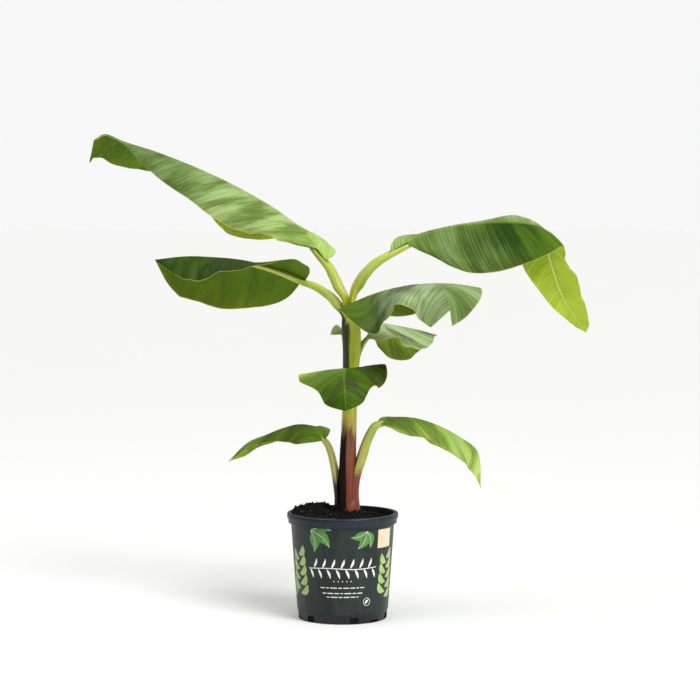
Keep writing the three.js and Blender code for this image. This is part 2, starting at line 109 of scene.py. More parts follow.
# Per leaf: stalk and rib are points of the rib curve, and the blade starts at the last
# stalk point. radius is the stalk's at its foot and at the blade, roll turns the blade
# about its rib in degrees, and far is the rib point that gives the blade's heading. split
# is the share where the solids have two nodes. wide, hang and curl hold evenly spaced
# values from the blade's base to its tip: half width, and the slope below level in degrees
# at the rib and at the margin. start, base and tip say where a half begins and which
# shares of it are rounded off, and sweep how far its margin leans to the tip. sheath is
# how far the stalk's foot wraps the stem below it, how far above it the wrap lasts, its
# half width in degrees and its thickness, and root how much deeper it stands in the mix.
LEAVES = {
    "upper_left": {
        "stalk": [[4, 4, 578], [-5, 8, 606], [-18, 14, 635], [-31, 22, 659]],
        "rib": [[-31, 22, 659], [-72, 60, 710], [-127, 100, 753], [-202, 150, 795], [-273, 190, 828],
                [-352, 230, 859], [-423, 262, 882], [-462, 281, 897], [-486, 290, 886]],
        "radius": [12, 9.5], "roll": 0, "far": 8,
        "left": {"wide": [62, 68, 84, 86, 72, 58, 36, 6, 2], "hang": [-12, 8, 20, 18, 20, 25, 30, 30, 30],
                 "curl": [30, 45, 70, 72, 78, 85, 90, 80, 60], "sweep": 0.3, "start": 0.05, "base": 0.04,
                 "tip": 0.05},
        "right": {"wide": [34, 46, 86, 106, 98, 82, 64, 60, 38],
                 "hang": [-42, -8, 34, 54, 46, 34, 34, 58, 66],
                 "curl": [-12, 24, 88, 88, 72, 60, 58, 72, 78],
                 "sweep": [0, 0.1, 0.25, 0.3, 0.3, 0.3, 0.3, 0.4, 0.9], "start": 0, "base": 0.04,
                 "tip": 0.01},
        "sheath": [90, 36, 75, 1.2],
    },
    "middle_left": {
        "stalk": [[4, -4, 548], [-7, -2, 575], [-20, 2, 592], [-41, 8, 607], [-64, 14, 619]],
        "rib": [[-64, 14, 619], [-108, 34, 637], [-150, 54, 650], [-191, 74, 658], [-239, 98, 662],
                [-297, 125, 663], [-356, 152, 656]],
        "radius": [11.5, 8.5], "roll": 0, "far": 6,
        "left": {"wide": [44, 50, 52, 60, 62, 70, 68, 52, 30],
                 "hang": [-50, -50, -30, 0, 8, 20, 24, 24, 24],
                 "curl": [-40, -42, -12, 20, 30, 50, 55, 50, 45],
                 "sweep": [-0.55, -0.5, -0.55, -0.3, -0.3, -0.2, -0.25, -0.2, 0], "start": 0.02,
                 "base": 0.05, "tip": 0.2},
        "right": {"wide": [84, 80, 93, 98, 88, 76, 68], "hang": [60, 65, 70, 75, 75, 75, 75],
                 "curl": [80, 85, 90, 90, 90, 90, 80], "sweep": 0.2, "start": 0.04, "base": 0.2,
                 "tip": 0.2},
        "sheath": [80, 36, 80, 1.2],
    },
    "upper_right": {
        "stalk": [[17, 2, 582], [25, 2, 608], [38, 4, 632], [59, 8, 654], [89, 14, 674]],
        "rib": [[89, 14, 674], [120, 22, 692], [161, 32, 710], [217, 50, 722], [274, 74, 727],
                [323, 104, 726], [367, 138, 720], [392, 162, 703], [393, 172, 672], [405, 178, 628],
                [423, 186, 582], [467, 199, 515]],
        "radius": [13.5, 9], "roll": [0, 0, 0, 0, 5, 25, 34, 34, 34], "far": 6,
        "left": {"wide": [20, 48, 88, 98, 94, 80, 46, 25, 5],
                 "hang": [-40, -12, -10, -18, -46, -46, 10, 10, 10],
                 "curl": [-40, 40, 60, 40, 40, 20, 20, 20, 20],
                 "sweep": [0.35, 0.35, 0.35, 0.5, 0.6, 0.5, 0.35, 0.35, 0.35], "start": 0, "base": 0.03,
                 "tip": 0.05},
        "right": {"wide": [60, 92, 102, 92, 74, 52, 50, 40, 12],
                 "hang": [30, 45, 48, 44, 34, 20, 5, 5, 5], "curl": [60, 85, 85, 78, 66, 50, 20, 20, 20],
                 "sweep": 0.35, "start": 0.06, "base": 0.1, "tip": 0.05},
        "split": 0.6,
        "sheath": [60, 40, 80, 1.2],
    },
    "front_arching": {
        "stalk": [[15, -12, 528], [15, -17, 549], [17, -24, 567], [19, -35, 582]],
        "rib": [[19, -35, 582], [61, -58, 601], [103, -84, 613], [138, -112, 619], [167, -145, 619],
                [184, -172, 604], [189, -182, 576]],
        "radius": [9.5, 7], "roll": 0, "far": 4,
        "left": {"wide": [50, 80, 88, 88, 83, 79, 46, 16], "hang": [-5, 6, 10, 6, 2, -5, -4, 20],
                 "curl": [10, 60, 55, 45, 30, 10, 30, 50],
                 "sweep": [-0.6, 0.1, 0.3, 0.35, 0.4, 0.5, 0.8, 1.6], "start": 0, "base": 0.02,
                 "tip": 0.01},
        "right": {"wide": [44, 80, 72, 78, 86, 80, 64, 36], "hang": [-4, 62, 40, 26, 16, 22, 44, 50],
                 "curl": [16, 68, 66, 40, 28, 40, 60, 60],
                 "sweep": [-0.2, 0, 0.15, 0.2, 0.2, 0.3, 0.5, 0.8], "start": 0, "base": 0.02,
                 "tip": 0.01},
        "sheath": [90, 30, 80, 1.2],
    },
    "back_right": {
        "stalk": [[25, 4, 472], [32, 8, 496], [43, 16, 515]],
        "rib": [[43, 16, 515], [56, 36, 537], [75, 60, 540], [107, 95, 533], [142, 130, 524],
                [179, 160, 513]],
        "radius": [7, 5], "roll": 0, "far": 5,
        "left": {"wide": [40, 44, 62, 62, 50, 36], "hang": [30, 60, 70, 75, 70, 60],
                 "curl": [60, 80, 85, 85, 80, 70], "sweep": 0.3, "start": 0, "base": 0.15, "tip": 0.35},
        "right": {"wide": [50, 60, 70, 66, 44, 16], "hang": [25, 36, 38, 34, 25, 10],
                 "curl": [30, 36, 36, 30, 20, 10], "sweep": 0.1, "start": 0, "base": 0.1, "tip": 0.3},
        "sheath": [70, 26, 70, 1.2],
    },
    "front_drooping": {
        "stalk": [[10, -14, 400], [10, -24, 426], [8, -36, 449], [6, -52, 461]],
        "rib": [[6, -52, 461], [5, -75, 466], [4, -105, 463], [3, -130, 449], [5, -145, 425],
                [6, -152, 396]],
        "radius": [8, 6], "roll": 0, "far": 5,
        "left": {"wide": [72, 78, 70, 54, 39, 26], "hang": [-10, -2, 8, 10, 15, 20],
                 "curl": [-10, 30, 40, 20, 20, 20], "sweep": 0.05, "start": 0, "base": 0.05, "tip": 0.14},
        "right": {"wide": [82, 86, 85, 79, 65, 52, 46, 40, 36], "hang": [0, 4, 8, 10, 14, 17, 19, 20, 20],
                 "curl": [10, 16, 22, 27, 30, 30, 28, 24, 20], "sweep": 0.05, "start": 0, "base": 0.05,
                 "tip": 0.14},
        "sheath": [90, 34, 80, 1.2],
    },
    "lower_left": {
        "stalk": [[-15, -2, 195.3], [-15, -2, 244], [-16, 0, 277], [-22, 4, 306], [-33, 8, 328]],
        "rib": [[-33, 8, 328], [-53, 18, 347], [-79, 32, 354], [-109, 48, 346], [-143, 66, 331],
                [-180, 86, 313], [-215, 108, 277]],
        "radius": [9, 6.2], "roll": 0, "far": 6,
        "left": {"wide": [44, 42, 32, 20, 14, 12, 8], "hang": [30, 45, 45, 40, 40, 40, 30],
                 "curl": [70, 85, 80, 70, 60, 50, 40], "sweep": 0.3, "start": 0, "base": 0.08,
                 "tip": 0.25},
        "right": {"wide": [28, 36, 42, 38, 27, 22, 20, 20, 14],
                 "hang": [-28, -12, -1, 9, 18, 28, 37, 43, 40],
                 "curl": [-20, 30, 56, 60, 62, 64, 62, 57, 50], "sweep": 0.3, "start": 0, "base": 0.03,
                 "tip": 0.25},
        "sheath": [0, 100, 60, 6],
    },
    "lower_right": {
        "stalk": [[19, -6, 218], [25.5, -6, 255], [32, -4, 286], [41, -2, 318], [53, 0, 345],
                  [66, 4, 360]],
        "rib": [[66, 4, 360], [98, 10, 369], [134, 16, 367], [174, 22, 354], [215, 28, 332],
                [251, 34, 301], [257, 40, 235]],
        "radius": [13.5, 8], "roll": 0, "far": 6,
        "left": {"wide": [18, 44, 54, 52, 46, 34, 14], "hang": [-20, 0, 20, 25, 25, 25, 25],
                 "curl": [-10, 50, 60, 60, 60, 60, 50], "sweep": 0.3, "start": 0, "base": 0.03,
                 "tip": 0.3},
        "right": {"wide": [32, 38, 35, 39, 41, 34, 14], "hang": [25, 48, 44, 46, 52, 52, 40],
                 "curl": [50, 75, 75, 72, 70, 60, 50], "sweep": 0.3, "start": 0, "base": 0.08,
                 "tip": 0.3},
        "sheath": [20, 90, 70, 4.5], "root": 2.3,
    },
    "small_back": {
        "stalk": [[14, 14, 490], [8, 22, 508], [1, 32, 522]],
        "rib": [[1, 32, 522], [-7, 48, 534], [-12, 66, 537], [-15, 84, 530], [-16, 98, 516]],
        "radius": [6, 4], "roll": 0, "far": 4,
        "left": {"wide": [14, 20, 20, 16, 8], "hang": [0, 20, 30, 30, 30], "curl": [40, 80, 90, 80, 60],
                 "sweep": 0.2, "start": 0, "base": 0.1, "tip": 0.3},
        "right": {"wide": [14, 20, 20, 16, 8], "hang": [0, 20, 30, 30, 30], "curl": [40, 80, 90, 80, 60],
                 "sweep": 0.2, "start": 0, "base": 0.1, "tip": 0.3},
        "sheath": [50, 20, 60, 1.2],
    },
}

# Rows from a blade's base to its tip: age of the upper side of each half, from 0 for
# bright young green to 1 for dark mature green, set lower or higher in places as painted
# light and shade, the waxy bloom on it together with painted sheen, and the age of the
# underside, set low where light shining through the blade is painted in. lean says how far
# the side veins run to the tip, streaks and veins how strong the purple brown blots and the
# pale veins are, dry how papery the stalk is, and seed which waves and blots the blade has.
LOOKS = {
    "upper_left": {
        "left": {"lean": 0.5, "age": [0.4, 0.45, 0.5, 0.66, 0.76, 0.75],
                 "bloom": [0.2, 0.4, 0.4, 0.25, 0.2, 0.1]},
        "right": {"lean": 0.9, "age": [0.36, 0.4, 0.45, 0.66, 0.7], "bloom": [0.25, 0.4, 0.35, 0.15, 0.1]},
        "under": [0.35, 0.2, 0.2, 0.3, 0.55, 0.75], "streaks": [0.2, 0.5, 0.5, 0.5, 0.5, 0.2], "veins": 0.3,
    },
    "middle_left": {
        "left": {"age": [1.05, 1.05, 1, 1], "bloom": [0, 0.06, 0.02, 0]},
        "right": {"age": [0.8, 0.9], "bloom": [0.1, 0.1]},
        "under": [0.66, 0.6, 0.58, 0.62], "streaks": [0.2, 0.3, 0.25, 0.1], "veins": 0.12,
    },
    "upper_right": {
        "left": {"lean": 0.3, "age": [0.5, 0.55, 0.6, 0.6, 0.5, 0.2, 0.15, 0.15],
                 "bloom": [0.25, 0.25, 0.3, 0.45, 0.4, 0.1, 0.1, 0.2]},
        "right": {"lean": [-0.3, -0.25, -0.15, 0, 0.2, 0.3, 0.3],
                  "age": [0.6, 0.7, 0.84, 0.94, 0.74, 0.25, 0.15, 0.15],
                  "bloom": [0.12, 0.2, 0.08, 0, 0, 0.05, 0.1, 0.2]},
        "under": [0.5, 0.5, 0.5, 0.4, 0.2, 0.16, 0.1, 0.16], "streaks": 0.04, "veins": 0.6,
    },
    "front_arching": {
        "left": {"lean": 0.3, "age": [0.75, 0.75, 0.7, 0.65], "bloom": [0.15, 0.25, 0.35, 0.3]},
        "right": {"lean": [-0.9, -0.8, -0.5, 0, 0.2, 0.3],
                  "age": [0.86, 0.86, 0.75, 0.66, 0.64, 0.72, 0.82],
                  "bloom": [0, 0.1, 0.5, 0.62, 0.6, 0.5, 0.25]},
        "under": [0.6, 0.45], "streaks": [0, 0.3, 1, 1, 0.6, 0.2, 0.1], "veins": 0.25, "seed": 6.1,
    },
    "back_right": {
        "left": {"lean": 0.8, "age": [0.55, 0.6], "bloom": [0.2, 0.2]},
        "right": {"lean": 0.9, "age": [0.4, 0.48, 0.48, 0.45], "bloom": [0.9, 0.75, 0.6, 0.45]},
        "under": [0.4, 0.44], "streaks": [0, 0.9, 0.9, 0.7], "veins": 0.3,
    },
    "front_drooping": {
        "left": {"lean": 0.6, "age": [0.88, 0.9, 0.88, 0.86], "bloom": [0.02, 0, 0]},
        # The right half's base is set younger, painted lighter where that curled flap is lit.
        "right": {"lean": 0.6, "age": [0.3, 0.7, 0.82, 0.88], "bloom": [0.1, 0.04, 0]},
        "under": [0.1, 0.25], "streaks": [0.2, 0.8, 0.7, 0.3], "veins": 0.5,
    },
    "lower_left": {
        "left": {"lean": 0.9, "age": [0.48, 0.7, 0.64, 0.55], "bloom": [0.05, 0.05, 0.1, 0.2]},
        "right": {"lean": 0.9, "age": [0.44, 0.7, 0.66, 0.55], "bloom": [0.05, 0.02, 0.1, 0.2]},
        "under": [0.6, 0.6, 0.4, 0.35], "streaks": 0.5, "veins": 0.35, "dry": 0.5,
    },
    "lower_right": {
        "left": {"lean": 1, "age": [0.45, 0.48, 0.38, 0.02], "bloom": [0.1, 0.1, 0.2, 0.5]},
        "right": {"lean": 1, "age": [0.46, 0.46, 0.36, 0.05], "bloom": [0.1, 0.12, 0.25, 0.5]},
        "under": [0.4, 0.3, 0.2], "streaks": 0.6, "veins": 0.4, "dry": 0.3,
    },
    "small_back": {
        "left": {"age": [0.4, 0.5], "bloom": [0.5, 0.5]},
        "right": {"age": [0.4, 0.5], "bloom": [0.5, 0.5]},
        "under": [0.4, 0.4], "streaks": 0.1, "veins": 0.3,
    },
}


# ---- colours and sizes a user may change --------------------------------------
def tint(code):
    """Linear colour of a screen colour written as 0xRRGGBB."""
    parts = [(code >> shift & 255) / 255 for shift in (16, 8, 0)]
    return (*[p / 12.92 if p <= 0.04045 else ((p + 0.055) / 1.055) ** 2.4 for p in parts], 1.0)


def colour(name, code, about):
    return FloatVectorProperty(
        name=name, description=about, default=tint(code), size=4, subtype="COLOR", min=0, max=1
    )


def length(name, millimetres, about):
    return FloatProperty(
        name=name, description=about, default=millimetres * MM, min=0, unit="LENGTH", precision=4
    )


def number(name, default, about):
    return FloatProperty(name=name, description=about, default=default, min=0)


class BananaLeafSizes(bpy.types.PropertyGroup):
    station: length("Station", 3.6, "Distance between cross rows of a blade")
    thickness: length("Thickness", 1.1, "Blade thickness beside the rib")
    pleat_pitch: length("Pleat pitch", 15, "Distance between the soft pleats along a blade")
    pleat_height: length("Pleat height", 0.26, "Height of the soft pleats")
    ripple_height: length("Ripple height", 1.5, "Height of the waves at the margin")
    vein_pitch: length("Vein pitch", 7, "Distance between the fine side veins")
    young_green: colour("Young green", 0xBADA48, "Youngest blades and tips")
    middle_green: colour("Middle green", 0x5A7C12, "Blades half grown")
    old_green: colour("Mature green", 0x1E3604, "Mature blades")
    # Bloom colour, also laid on as painted sheen on the upper side.
    bloom_and_sheen_grey: colour("Bloom", 0xAEBE9C, "Waxy bloom on the upper side")
    streak_purple: colour("Streaks", 0x4E4038, "Purple brown streaks of a young blade")
    # Margin line: yellow edge colour, also standing for the painted highlight along the edge.
    margin: colour("Margin", 0xC2C050, "Thin yellow line along the margin")
    rib_green: colour("Rib", 0x84A222, "Stalks and midribs")
    rib_pale: colour("Pale rib", 0xB4C050, "Pale flank of stalks and midribs")
    rib_bright: colour("Bright rib", 0xE2E886, "Midrib near a young tip")
    papery: colour("Papery edge", 0xAC8F68, "Dry edge of the stalks' wings")


class BananaStemSizes(bpy.types.PropertyGroup):
    rib_height: length("Fibre height", 0.22, "Height of the long fibres of the stem")
    step: length("Sheath step", 0.9, "Thickness of a leaf sheath at its edge")
    maroon: colour("Maroon", 0x843E30, "Foot of the stem")
    brown: colour("Brown", 0x7A4C34, "Middle of the stem")
    black: colour("Dry black", 0x0E0A08, "Dry dark strip of an old sheath")
    olive: colour("Olive", 0xB5A050, "Stem where the brown turns green")
    bright: colour("Bright green", 0xC0C83C, "Stem under the fork, lit side")
    # Deep green of the outer sheath, also laid on as painted shade on the stem's left side.
    deep: colour("Deep green", 0x303A08, "Outer sheath under the fork")


class BananaPotSizes(bpy.types.PropertyGroup):
    facets: IntProperty(name="Facets", description="Sides of the turned pot", default=160, min=24)
    print_height: length("Print height", 0.16, "How far the printed marks stand on the sleeve")
    plastic: colour("Plastic", 0x0F161D, "Blue grey charcoal plastic of the pot")
    # Colour of scuffs, and of the painted highlight along the lip's edges.
    worn_and_lit_plastic: colour("Worn plastic", 0x374452, "Scuffed edges of the pot")
    sleeve: colour("Sleeve", 0x151C1B, "Slate green of the printed sleeve")
    sleeve_light: colour("Light sleeve", 0x34423C, "Lighter clouds of the printed sleeve")
    leaf_print: colour("Printed leaves", 0x4E8C34, "Green leaves printed on the sleeve")
    fruit_print: colour("Printed pods", 0xA6BE72, "Pale pods printed on the sleeve")
    mark_print: colour("Printed marks", 0xE2E4DE, "Off white marks printed on the sleeve")
    tag_print: colour("Printed patch", 0xD9C19C, "Tan patch printed on the sleeve")


class BananaMixSizes(bpy.types.PropertyGroup):
    seed: IntProperty(name="Seed", description="Seed of the bark chips and beads", default=7)
    chip_density: number("Chips", 62000, "Bark chips on each square metre")
    bead_density: number("Beads", 800, "Feed beads on each square metre")
    chip_size: length("Chip size", 6.0, "Length of the largest bark chips")
    bead_size: length("Bead size", 1.1, "Radius of a feed bead")
    dark: colour("Dark bark", 0x070605, "Damp bark")
    light: colour("Light bark", 0x211A14, "Dry bark and fibres")
    bead: colour("Feed bead", 0x2A7460, "Blue green slow feed beads")


class BananaStageSizes(bpy.types.PropertyGroup):
    floor_radius: length("Floor radius", 60000, "Radius of the pale floor")
    floor: colour("Floor", 0xF3F3F1, "Pale floor")
    sky: colour("Surround", 0xF8F8F8, "Pale surround")
    sky_seen: number("Surround tone", 1.0, "Brightness of the surround itself")
    sky_light: number("Surround light", 0.7, "Light from above and behind")
    room_light: number("Room light", 0.1, "Light from the front")
    sun_power: number("Key light", 2.6, "Strength of the wide soft key light")
    top_power: number("Top light", 16, "Power of the soft light overhead")


SIZES = {
    "banana_leaf": BananaLeafSizes,
    "banana_stem": BananaStemSizes,
    "banana_pot": BananaPotSizes,
    "banana_mix": BananaMixSizes,
    "banana_stage": BananaStageSizes,
}


# ---- curves and the leaf rule --------------------------------------------------
def unit(v):
    return v / np.linalg.norm(v, axis=-1, keepdims=True)


def smoothstep(low, high, x):
    t = np.clip((x - low) / (high - low), 0, 1)
    return t * t * (3 - 2 * t)


def smooth_row(values, place):
    """Even curve through a row of values or points, at places counted in rows."""
    rows = np.asarray(values, float)
    rows = rows[:, None] if rows.ndim == 1 else rows
    rows = np.vstack([2 * rows[0] - rows[1], rows, 2 * rows[-1] - rows[-2]])
    place = np.clip(np.asarray(place, float), 0, len(rows) - 3)
    i = np.minimum(place.astype(int), len(rows) - 4)
    t = (place - i)[:, None]
    a, b, c, d = rows[i], rows[i + 1], rows[i + 2], rows[i + 3]
    cubic = (3 * b - a - 3 * c + d) * t**3
    return 0.5 * (2 * b + (c - a) * t + (2 * a - 5 * b + 4 * c - d) * t * t + cubic)


def along(values, share):
    """Value of a leaf's row at each share of the blade, or the same value everywhere."""
    share = np.clip(share, 0, 1)
    if np.ndim(values) == 0:
        return np.full(len(share), float(values))
    return smooth_row(values, share * (len(values) - 1))[:, 0]


def rounding(share, half):
    """Share of the full width left where the base and the tip are rounded."""
    x = np.clip((share - half["start"]) / (1 - half["start"]), 0, 1)
    base = np.sqrt(np.clip(1 - (1 - np.minimum(x / half["base"], 1)) ** 2, 0, 1))
    tip = 1 - (np.maximum(0, x - (1 - half["tip"])) / half["tip"]) ** 2
    return base * tip


class Rib:
    """Rib curve of a leaf with its two halves, in millimetres."""

    samples = 40
    reach = 0.05
    least_width = 0.1
    least_turn = 1e-4

    def __init__(self, leaf):
        self.leaf = leaf
        points = leaf["stalk"] + leaf["rib"][1:]
        spans = len(points) - 1
        self.dots = smooth_row(points, np.linspace(0, spans, self.samples * spans + 1))
        steps = np.linalg.norm(np.diff(self.dots, axis=0), axis=1)
        self.run = np.concatenate([[0], np.cumsum(steps)])
        self.stalk_length = self.run[self.samples * (len(leaf["stalk"]) - 1)]
        self.length = self.run[-1] - self.stalk_length
        heading = np.subtract(leaf["rib"][leaf["far"]], leaf["rib"][0]).astype(float)
        self.side = unit(np.array([heading[1], -heading[0], 0.0]))

    def at(self, share):
        x = np.clip(self.stalk_length + share * self.length, 0, self.run[-1])
        return np.stack([np.interp(x, self.run, self.dots[:, k]) for k in range(3)], -1)

    def frame(self, share):
        """Along the leaf, to its right and out of its upper side."""
        ahead = unit(self.at(share + self.reach) - self.at(share - self.reach))
        right = unit(self.side - ahead * (ahead @ self.side)[:, None])
        up = np.cross(right, ahead)
        roll = np.radians(along(self.leaf["roll"], share))[:, None]
        right = right * np.cos(roll) + up * np.sin(roll)
        return ahead, right, np.cross(right, ahead)

    def surface(self, share, across):
        """Middle of the blade, and its half width, for rows of shares and of places across."""
        centre = self.at(share)
        ahead, right, up = self.frame(share)
        grid = np.zeros((len(share), len(across), 3))
        widths = np.zeros((len(share), len(across)))
        for j, m in enumerate(across):
            half = self.leaf["left" if m < 0 else "right"]
            a = abs(m)
            wide = along(half["wide"], share) * rounding(share, half)
            wide = np.maximum(wide, self.leaf["radius"][1] * self.least_width)
            low = np.radians(along(half["hang"], share))
            turn = np.radians(along(half["curl"], share)) - low
            turn = np.where(np.abs(turn) < self.least_turn, self.least_turn, turn)
            high = low + turn * a
            out = wide * (np.sin(high) - np.sin(low)) / turn
            down = wide * (np.cos(low) - np.cos(high)) / turn
            lean = wide * along(half["sweep"], share) * a * a
            sign = -1 if m < 0 else 1
            grid[:, j] = centre + right * (sign * out)[:, None] - up * down[:, None] + ahead * lean[:, None]
            widths[:, j] = wide
        return grid, widths


RIBS = {name: Rib(leaf) for name, leaf in LEAVES.items()}


def stem_at(z, samples=200):
    """Centre and radius of the stem at each height, in millimetres."""
    rows = np.linspace(0, len(STEM["path"]) - 1, samples)
    path = smooth_row(STEM["path"], rows)
    radius = smooth_row(STEM["radius"], rows)[:, 0]
    x = np.interp(z, path[:, 2], path[:, 0])
    return x, np.zeros_like(x), np.interp(z, path[:, 2], radius)


def mix_height(x, y):
    """Height of the potting mix, level round the stem's foot."""
    free = MIX["level"] - MIX["fall"] * x
    for mound in MIX["mounds"]:
        away = (x - mound["x"]) ** 2 + (y - mound["y"]) ** 2
        free = free + mound["height"] * np.exp(-away / mound["spread"])
    pitch_x, pitch_y = MIX["lump_pitch"]
    free = free + MIX["lump"] * np.sin(x / pitch_x + MIX["lump_phase"]) * np.cos(y / pitch_y)
    free = free + MIX["dent"] * np.sin((x + y) / MIX["dent_pitch"])
    away = np.hypot(x - MIX["seat_x"], y)
    away = smoothstep(MIX["seat_radius"], MIX["seat_radius"] + MIX["seat_blend"], away)
    return MIX["seat"] + (free - MIX["seat"]) * away


def wall_radius(z):
    top = POT["height"] - POT["lip_height"] - POT["skirt_height"]
    return POT["foot_radius"] + (POT["wall_top_radius"] - POT["foot_radius"]) * z / top


# ---- meshes ---------------------------------------------------------------------
def stacked(x, y, z):
    """Points from coordinates that fit each other's rows and columns."""
    return np.stack(np.broadcast_arrays(x, y, z), -1)


def linked(name, data):
    """Object in the scene that shows a mesh, a lamp or a camera."""
    item = bpy.data.objects.new(name, data)
    bpy.context.scene.collection.objects.link(item)
    return item


def poured(name, maker):
    """Object whose mesh is taken from a bmesh, which then goes."""
    mesh = bpy.data.meshes.new(name)
    maker.to_mesh(mesh)
    maker.free()
    return linked(name, mesh)


def mesh_object(name, points, faces, materials, kinds=None):
    """Object at the origin whose place, given in millimetres, is in its mesh."""
    mesh = bpy.data.meshes.new(name)
    mesh.from_pydata([tuple(p) for p in np.asarray(points) * MM], [], faces)
    for material in materials:
        mesh.materials.append(material)
    if kinds is not None:
        mesh.polygons.foreach_set("material_index", np.asarray(kinds, np.int32))
    mesh.validate()
    mesh.update()
    return linked(name, mesh)


def shade(item, angle=40.0):
    """Smooth shading with sharp edges past an angle in degrees."""
    item.data.shade_smooth()
    item.data.set_sharp_from_angle(angle=math.radians(angle))


def store(item, name, values, kind="FLOAT"):
    """Named attribute on the points, one value or colour each."""
    layer = item.data.attributes.new(name, kind, "POINT")
    key = "color" if kind == "FLOAT_COLOR" else "value"
    layer.data.foreach_set(key, np.asarray(values, np.float32).ravel())


def store_map(item, name, places):
    """Flat map of a mesh from one place for each of its points."""
    corners = np.zeros(len(item.data.loops), np.int32)
    item.data.loops.foreach_get("vertex_index", corners)
    layer = item.data.uv_layers.new(name=name)
    layer.data.foreach_set("uv", places[corners].astype(np.float32).ravel())


def grid_faces(rows, columns, first=0, flip=False, closed=False):
    """Quads of a grid of points. closed joins the last column to the first."""
    last = columns if closed else columns - 1
    i, j = np.meshgrid(np.arange(rows - 1), np.arange(last), indexing="ij")
    k = (j + 1) % columns
    quads = np.stack([i * columns + j, i * columns + k, (i + 1) * columns + k, (i + 1) * columns + j], -1)
    quads = quads.reshape(-1, 4) + first
    return [tuple(q) for q in (quads[:, ::-1] if flip else quads).tolist()]


def shell(upper, lower):
    """Points and faces of a closed sheet between two grids, and which side each face is on."""
    rows, columns = upper.shape[:2]
    count = rows * columns
    points = np.concatenate([upper.reshape(-1, 3), lower.reshape(-1, 3)])
    faces = grid_faces(rows, columns) + grid_faces(rows, columns, count, True)
    sides = [0] * (len(faces) // 2) + [1] * (len(faces) // 2)
    rim = [(0, j) for j in range(columns - 1)]
    rim += [(i, columns - 1) for i in range(rows - 1)]
    rim += [(rows - 1, j) for j in range(columns - 1, 0, -1)]
    rim += [(i, 0) for i in range(rows - 1, 0, -1)]
    ids = [i * columns + j for i, j in rim]
    for a, b in zip(ids, ids[1:] + ids[:1]):
        faces.append((a, a + count, b + count, b))
        sides.append(0)
    return points, faces, sides


def tube(rings):
    """Points and faces of a closed body through rings of points, its ends closed by fans."""
    rows, columns = rings.shape[:2]
    points = np.concatenate([rings.reshape(-1, 3), rings[0].mean(0)[None], rings[-1].mean(0)[None]])
    faces = grid_faces(rows, columns, closed=True)
    head, tail, last = rows * columns, rows * columns + 1, (rows - 1) * columns
    for j in range(columns):
        k = (j + 1) % columns
        faces.append((head, k, j))
        faces.append((tail, last + j, last + k))
    return points, faces


def capped(grid):
    """Values of a tube's points: those of its rings, then those of its two ends."""
    return np.concatenate([grid.reshape(-1, *grid.shape[2:]), grid[0, :1], grid[-1, :1]])


def applied(item):
    """Plain mesh object of what an object's modifiers make; the object itself goes."""
    graph = bpy.context.evaluated_depsgraph_get()
    mesh = bpy.data.meshes.new_from_object(item.evaluated_get(graph))
    name = item.name
    bpy.data.objects.remove(item)
    mesh.name = name
    return linked(name, mesh)


# ---- node groups ------------------------------------------------------------------
def put(tree, kind, inputs=None, **settings):
    """Node of a tree. inputs maps a socket's name or number to a value or to what feeds it."""
    node = tree.nodes.new(kind)
    for key, value in settings.items():
        setattr(node, key, value)
    for key, value in (inputs or {}).items():
        if isinstance(value, bpy.types.NodeSocket):
            tree.links.new(value, node.inputs[key])
        else:
            node.inputs[key].default_value = value
    return node


def group(name, inputs, outputs, kind="ShaderNodeTree"):
    """Empty node group with its named sockets: (name, socket type, default)."""
    tree = bpy.data.node_groups.new(name, kind)
    for way, sockets in (("INPUT", inputs), ("OUTPUT", outputs)):
        for socket_name, socket_kind, value in sockets:
            socket = tree.interface.new_socket(socket_name, in_out=way, socket_type=socket_kind)
            if value is not None:
                socket.default_value = value
    return tree, tree.nodes.new("NodeGroupInput").outputs, tree.nodes.new("NodeGroupOutput").inputs


NUMBER, COLOUR, VECTOR, SHAPE = "NodeSocketFloat", "NodeSocketColor", "NodeSocketVector", "NodeSocketGeometry"


def maths(tree, operation, *values, clamp=False):
    node = put(tree, "ShaderNodeMath", dict(enumerate(values)), operation=operation, use_clamp=clamp)
    return node.outputs[0]


def mixed(tree, share, first, second):
    return put(tree, "ShaderNodeMix", {0: share, 6: first, 7: second}, data_type="RGBA").outputs[2]


def ramp(tree, value, low, high):
    """0 to 1 while the value goes from low to high."""
    node = put(tree, "ShaderNodeMapRange", {0: value, 1: low, 2: high}, interpolation_type="SMOOTHSTEP")
    return node.outputs[0]


def noise(tree, vector, scale, detail=3.0, roughness=0.55):
    inputs = {"Vector": vector, "Scale": scale, "Detail": detail, "Roughness": roughness}
    return put(tree, "ShaderNodeTexNoise", inputs).outputs[0]


def stretched(tree, vector, x, y, z):
    return put(tree, "ShaderNodeVectorMath", {0: vector, 1: (x, y, z)}, operation="MULTIPLY").outputs[0]


def map_noise(tree, place, waves, detail=2.0, roughness=0.55):
    """Noise on a leaf map with so many waves in a metre along and across the blade."""
    return noise(tree, stretched(tree, place, *waves, 1.0), 1.0, detail, roughness)


# Waves in a metre along and across a blade, and the stretch of each noise that shows.
# wander is how far the side veins drift, in metres; coarse and fine are their heights.
VEINS = {
    "drift": (9.0, 22.0), "wander": 0.006, "coarse": 0.3, "fine": 0.1, "fine_count": 3.7,
    "lines": (300.0, 6.0), "bands": (45.0, 5.0), "band_share": 0.35, "height_share": 0.12,
    "pale": (0.6, 0.9),
}
BLOTS = {"narrow": (230.0, 40.0), "wide": (20.0, 12.0), "blot": (0.28, 0.34), "cloud": (0.35, 0.65)}
MOTTLE = {"cloud": (0.3, 0.7), "detail": 4.0, "roughness": 0.6}
FIBRE_DRAW = 0.045


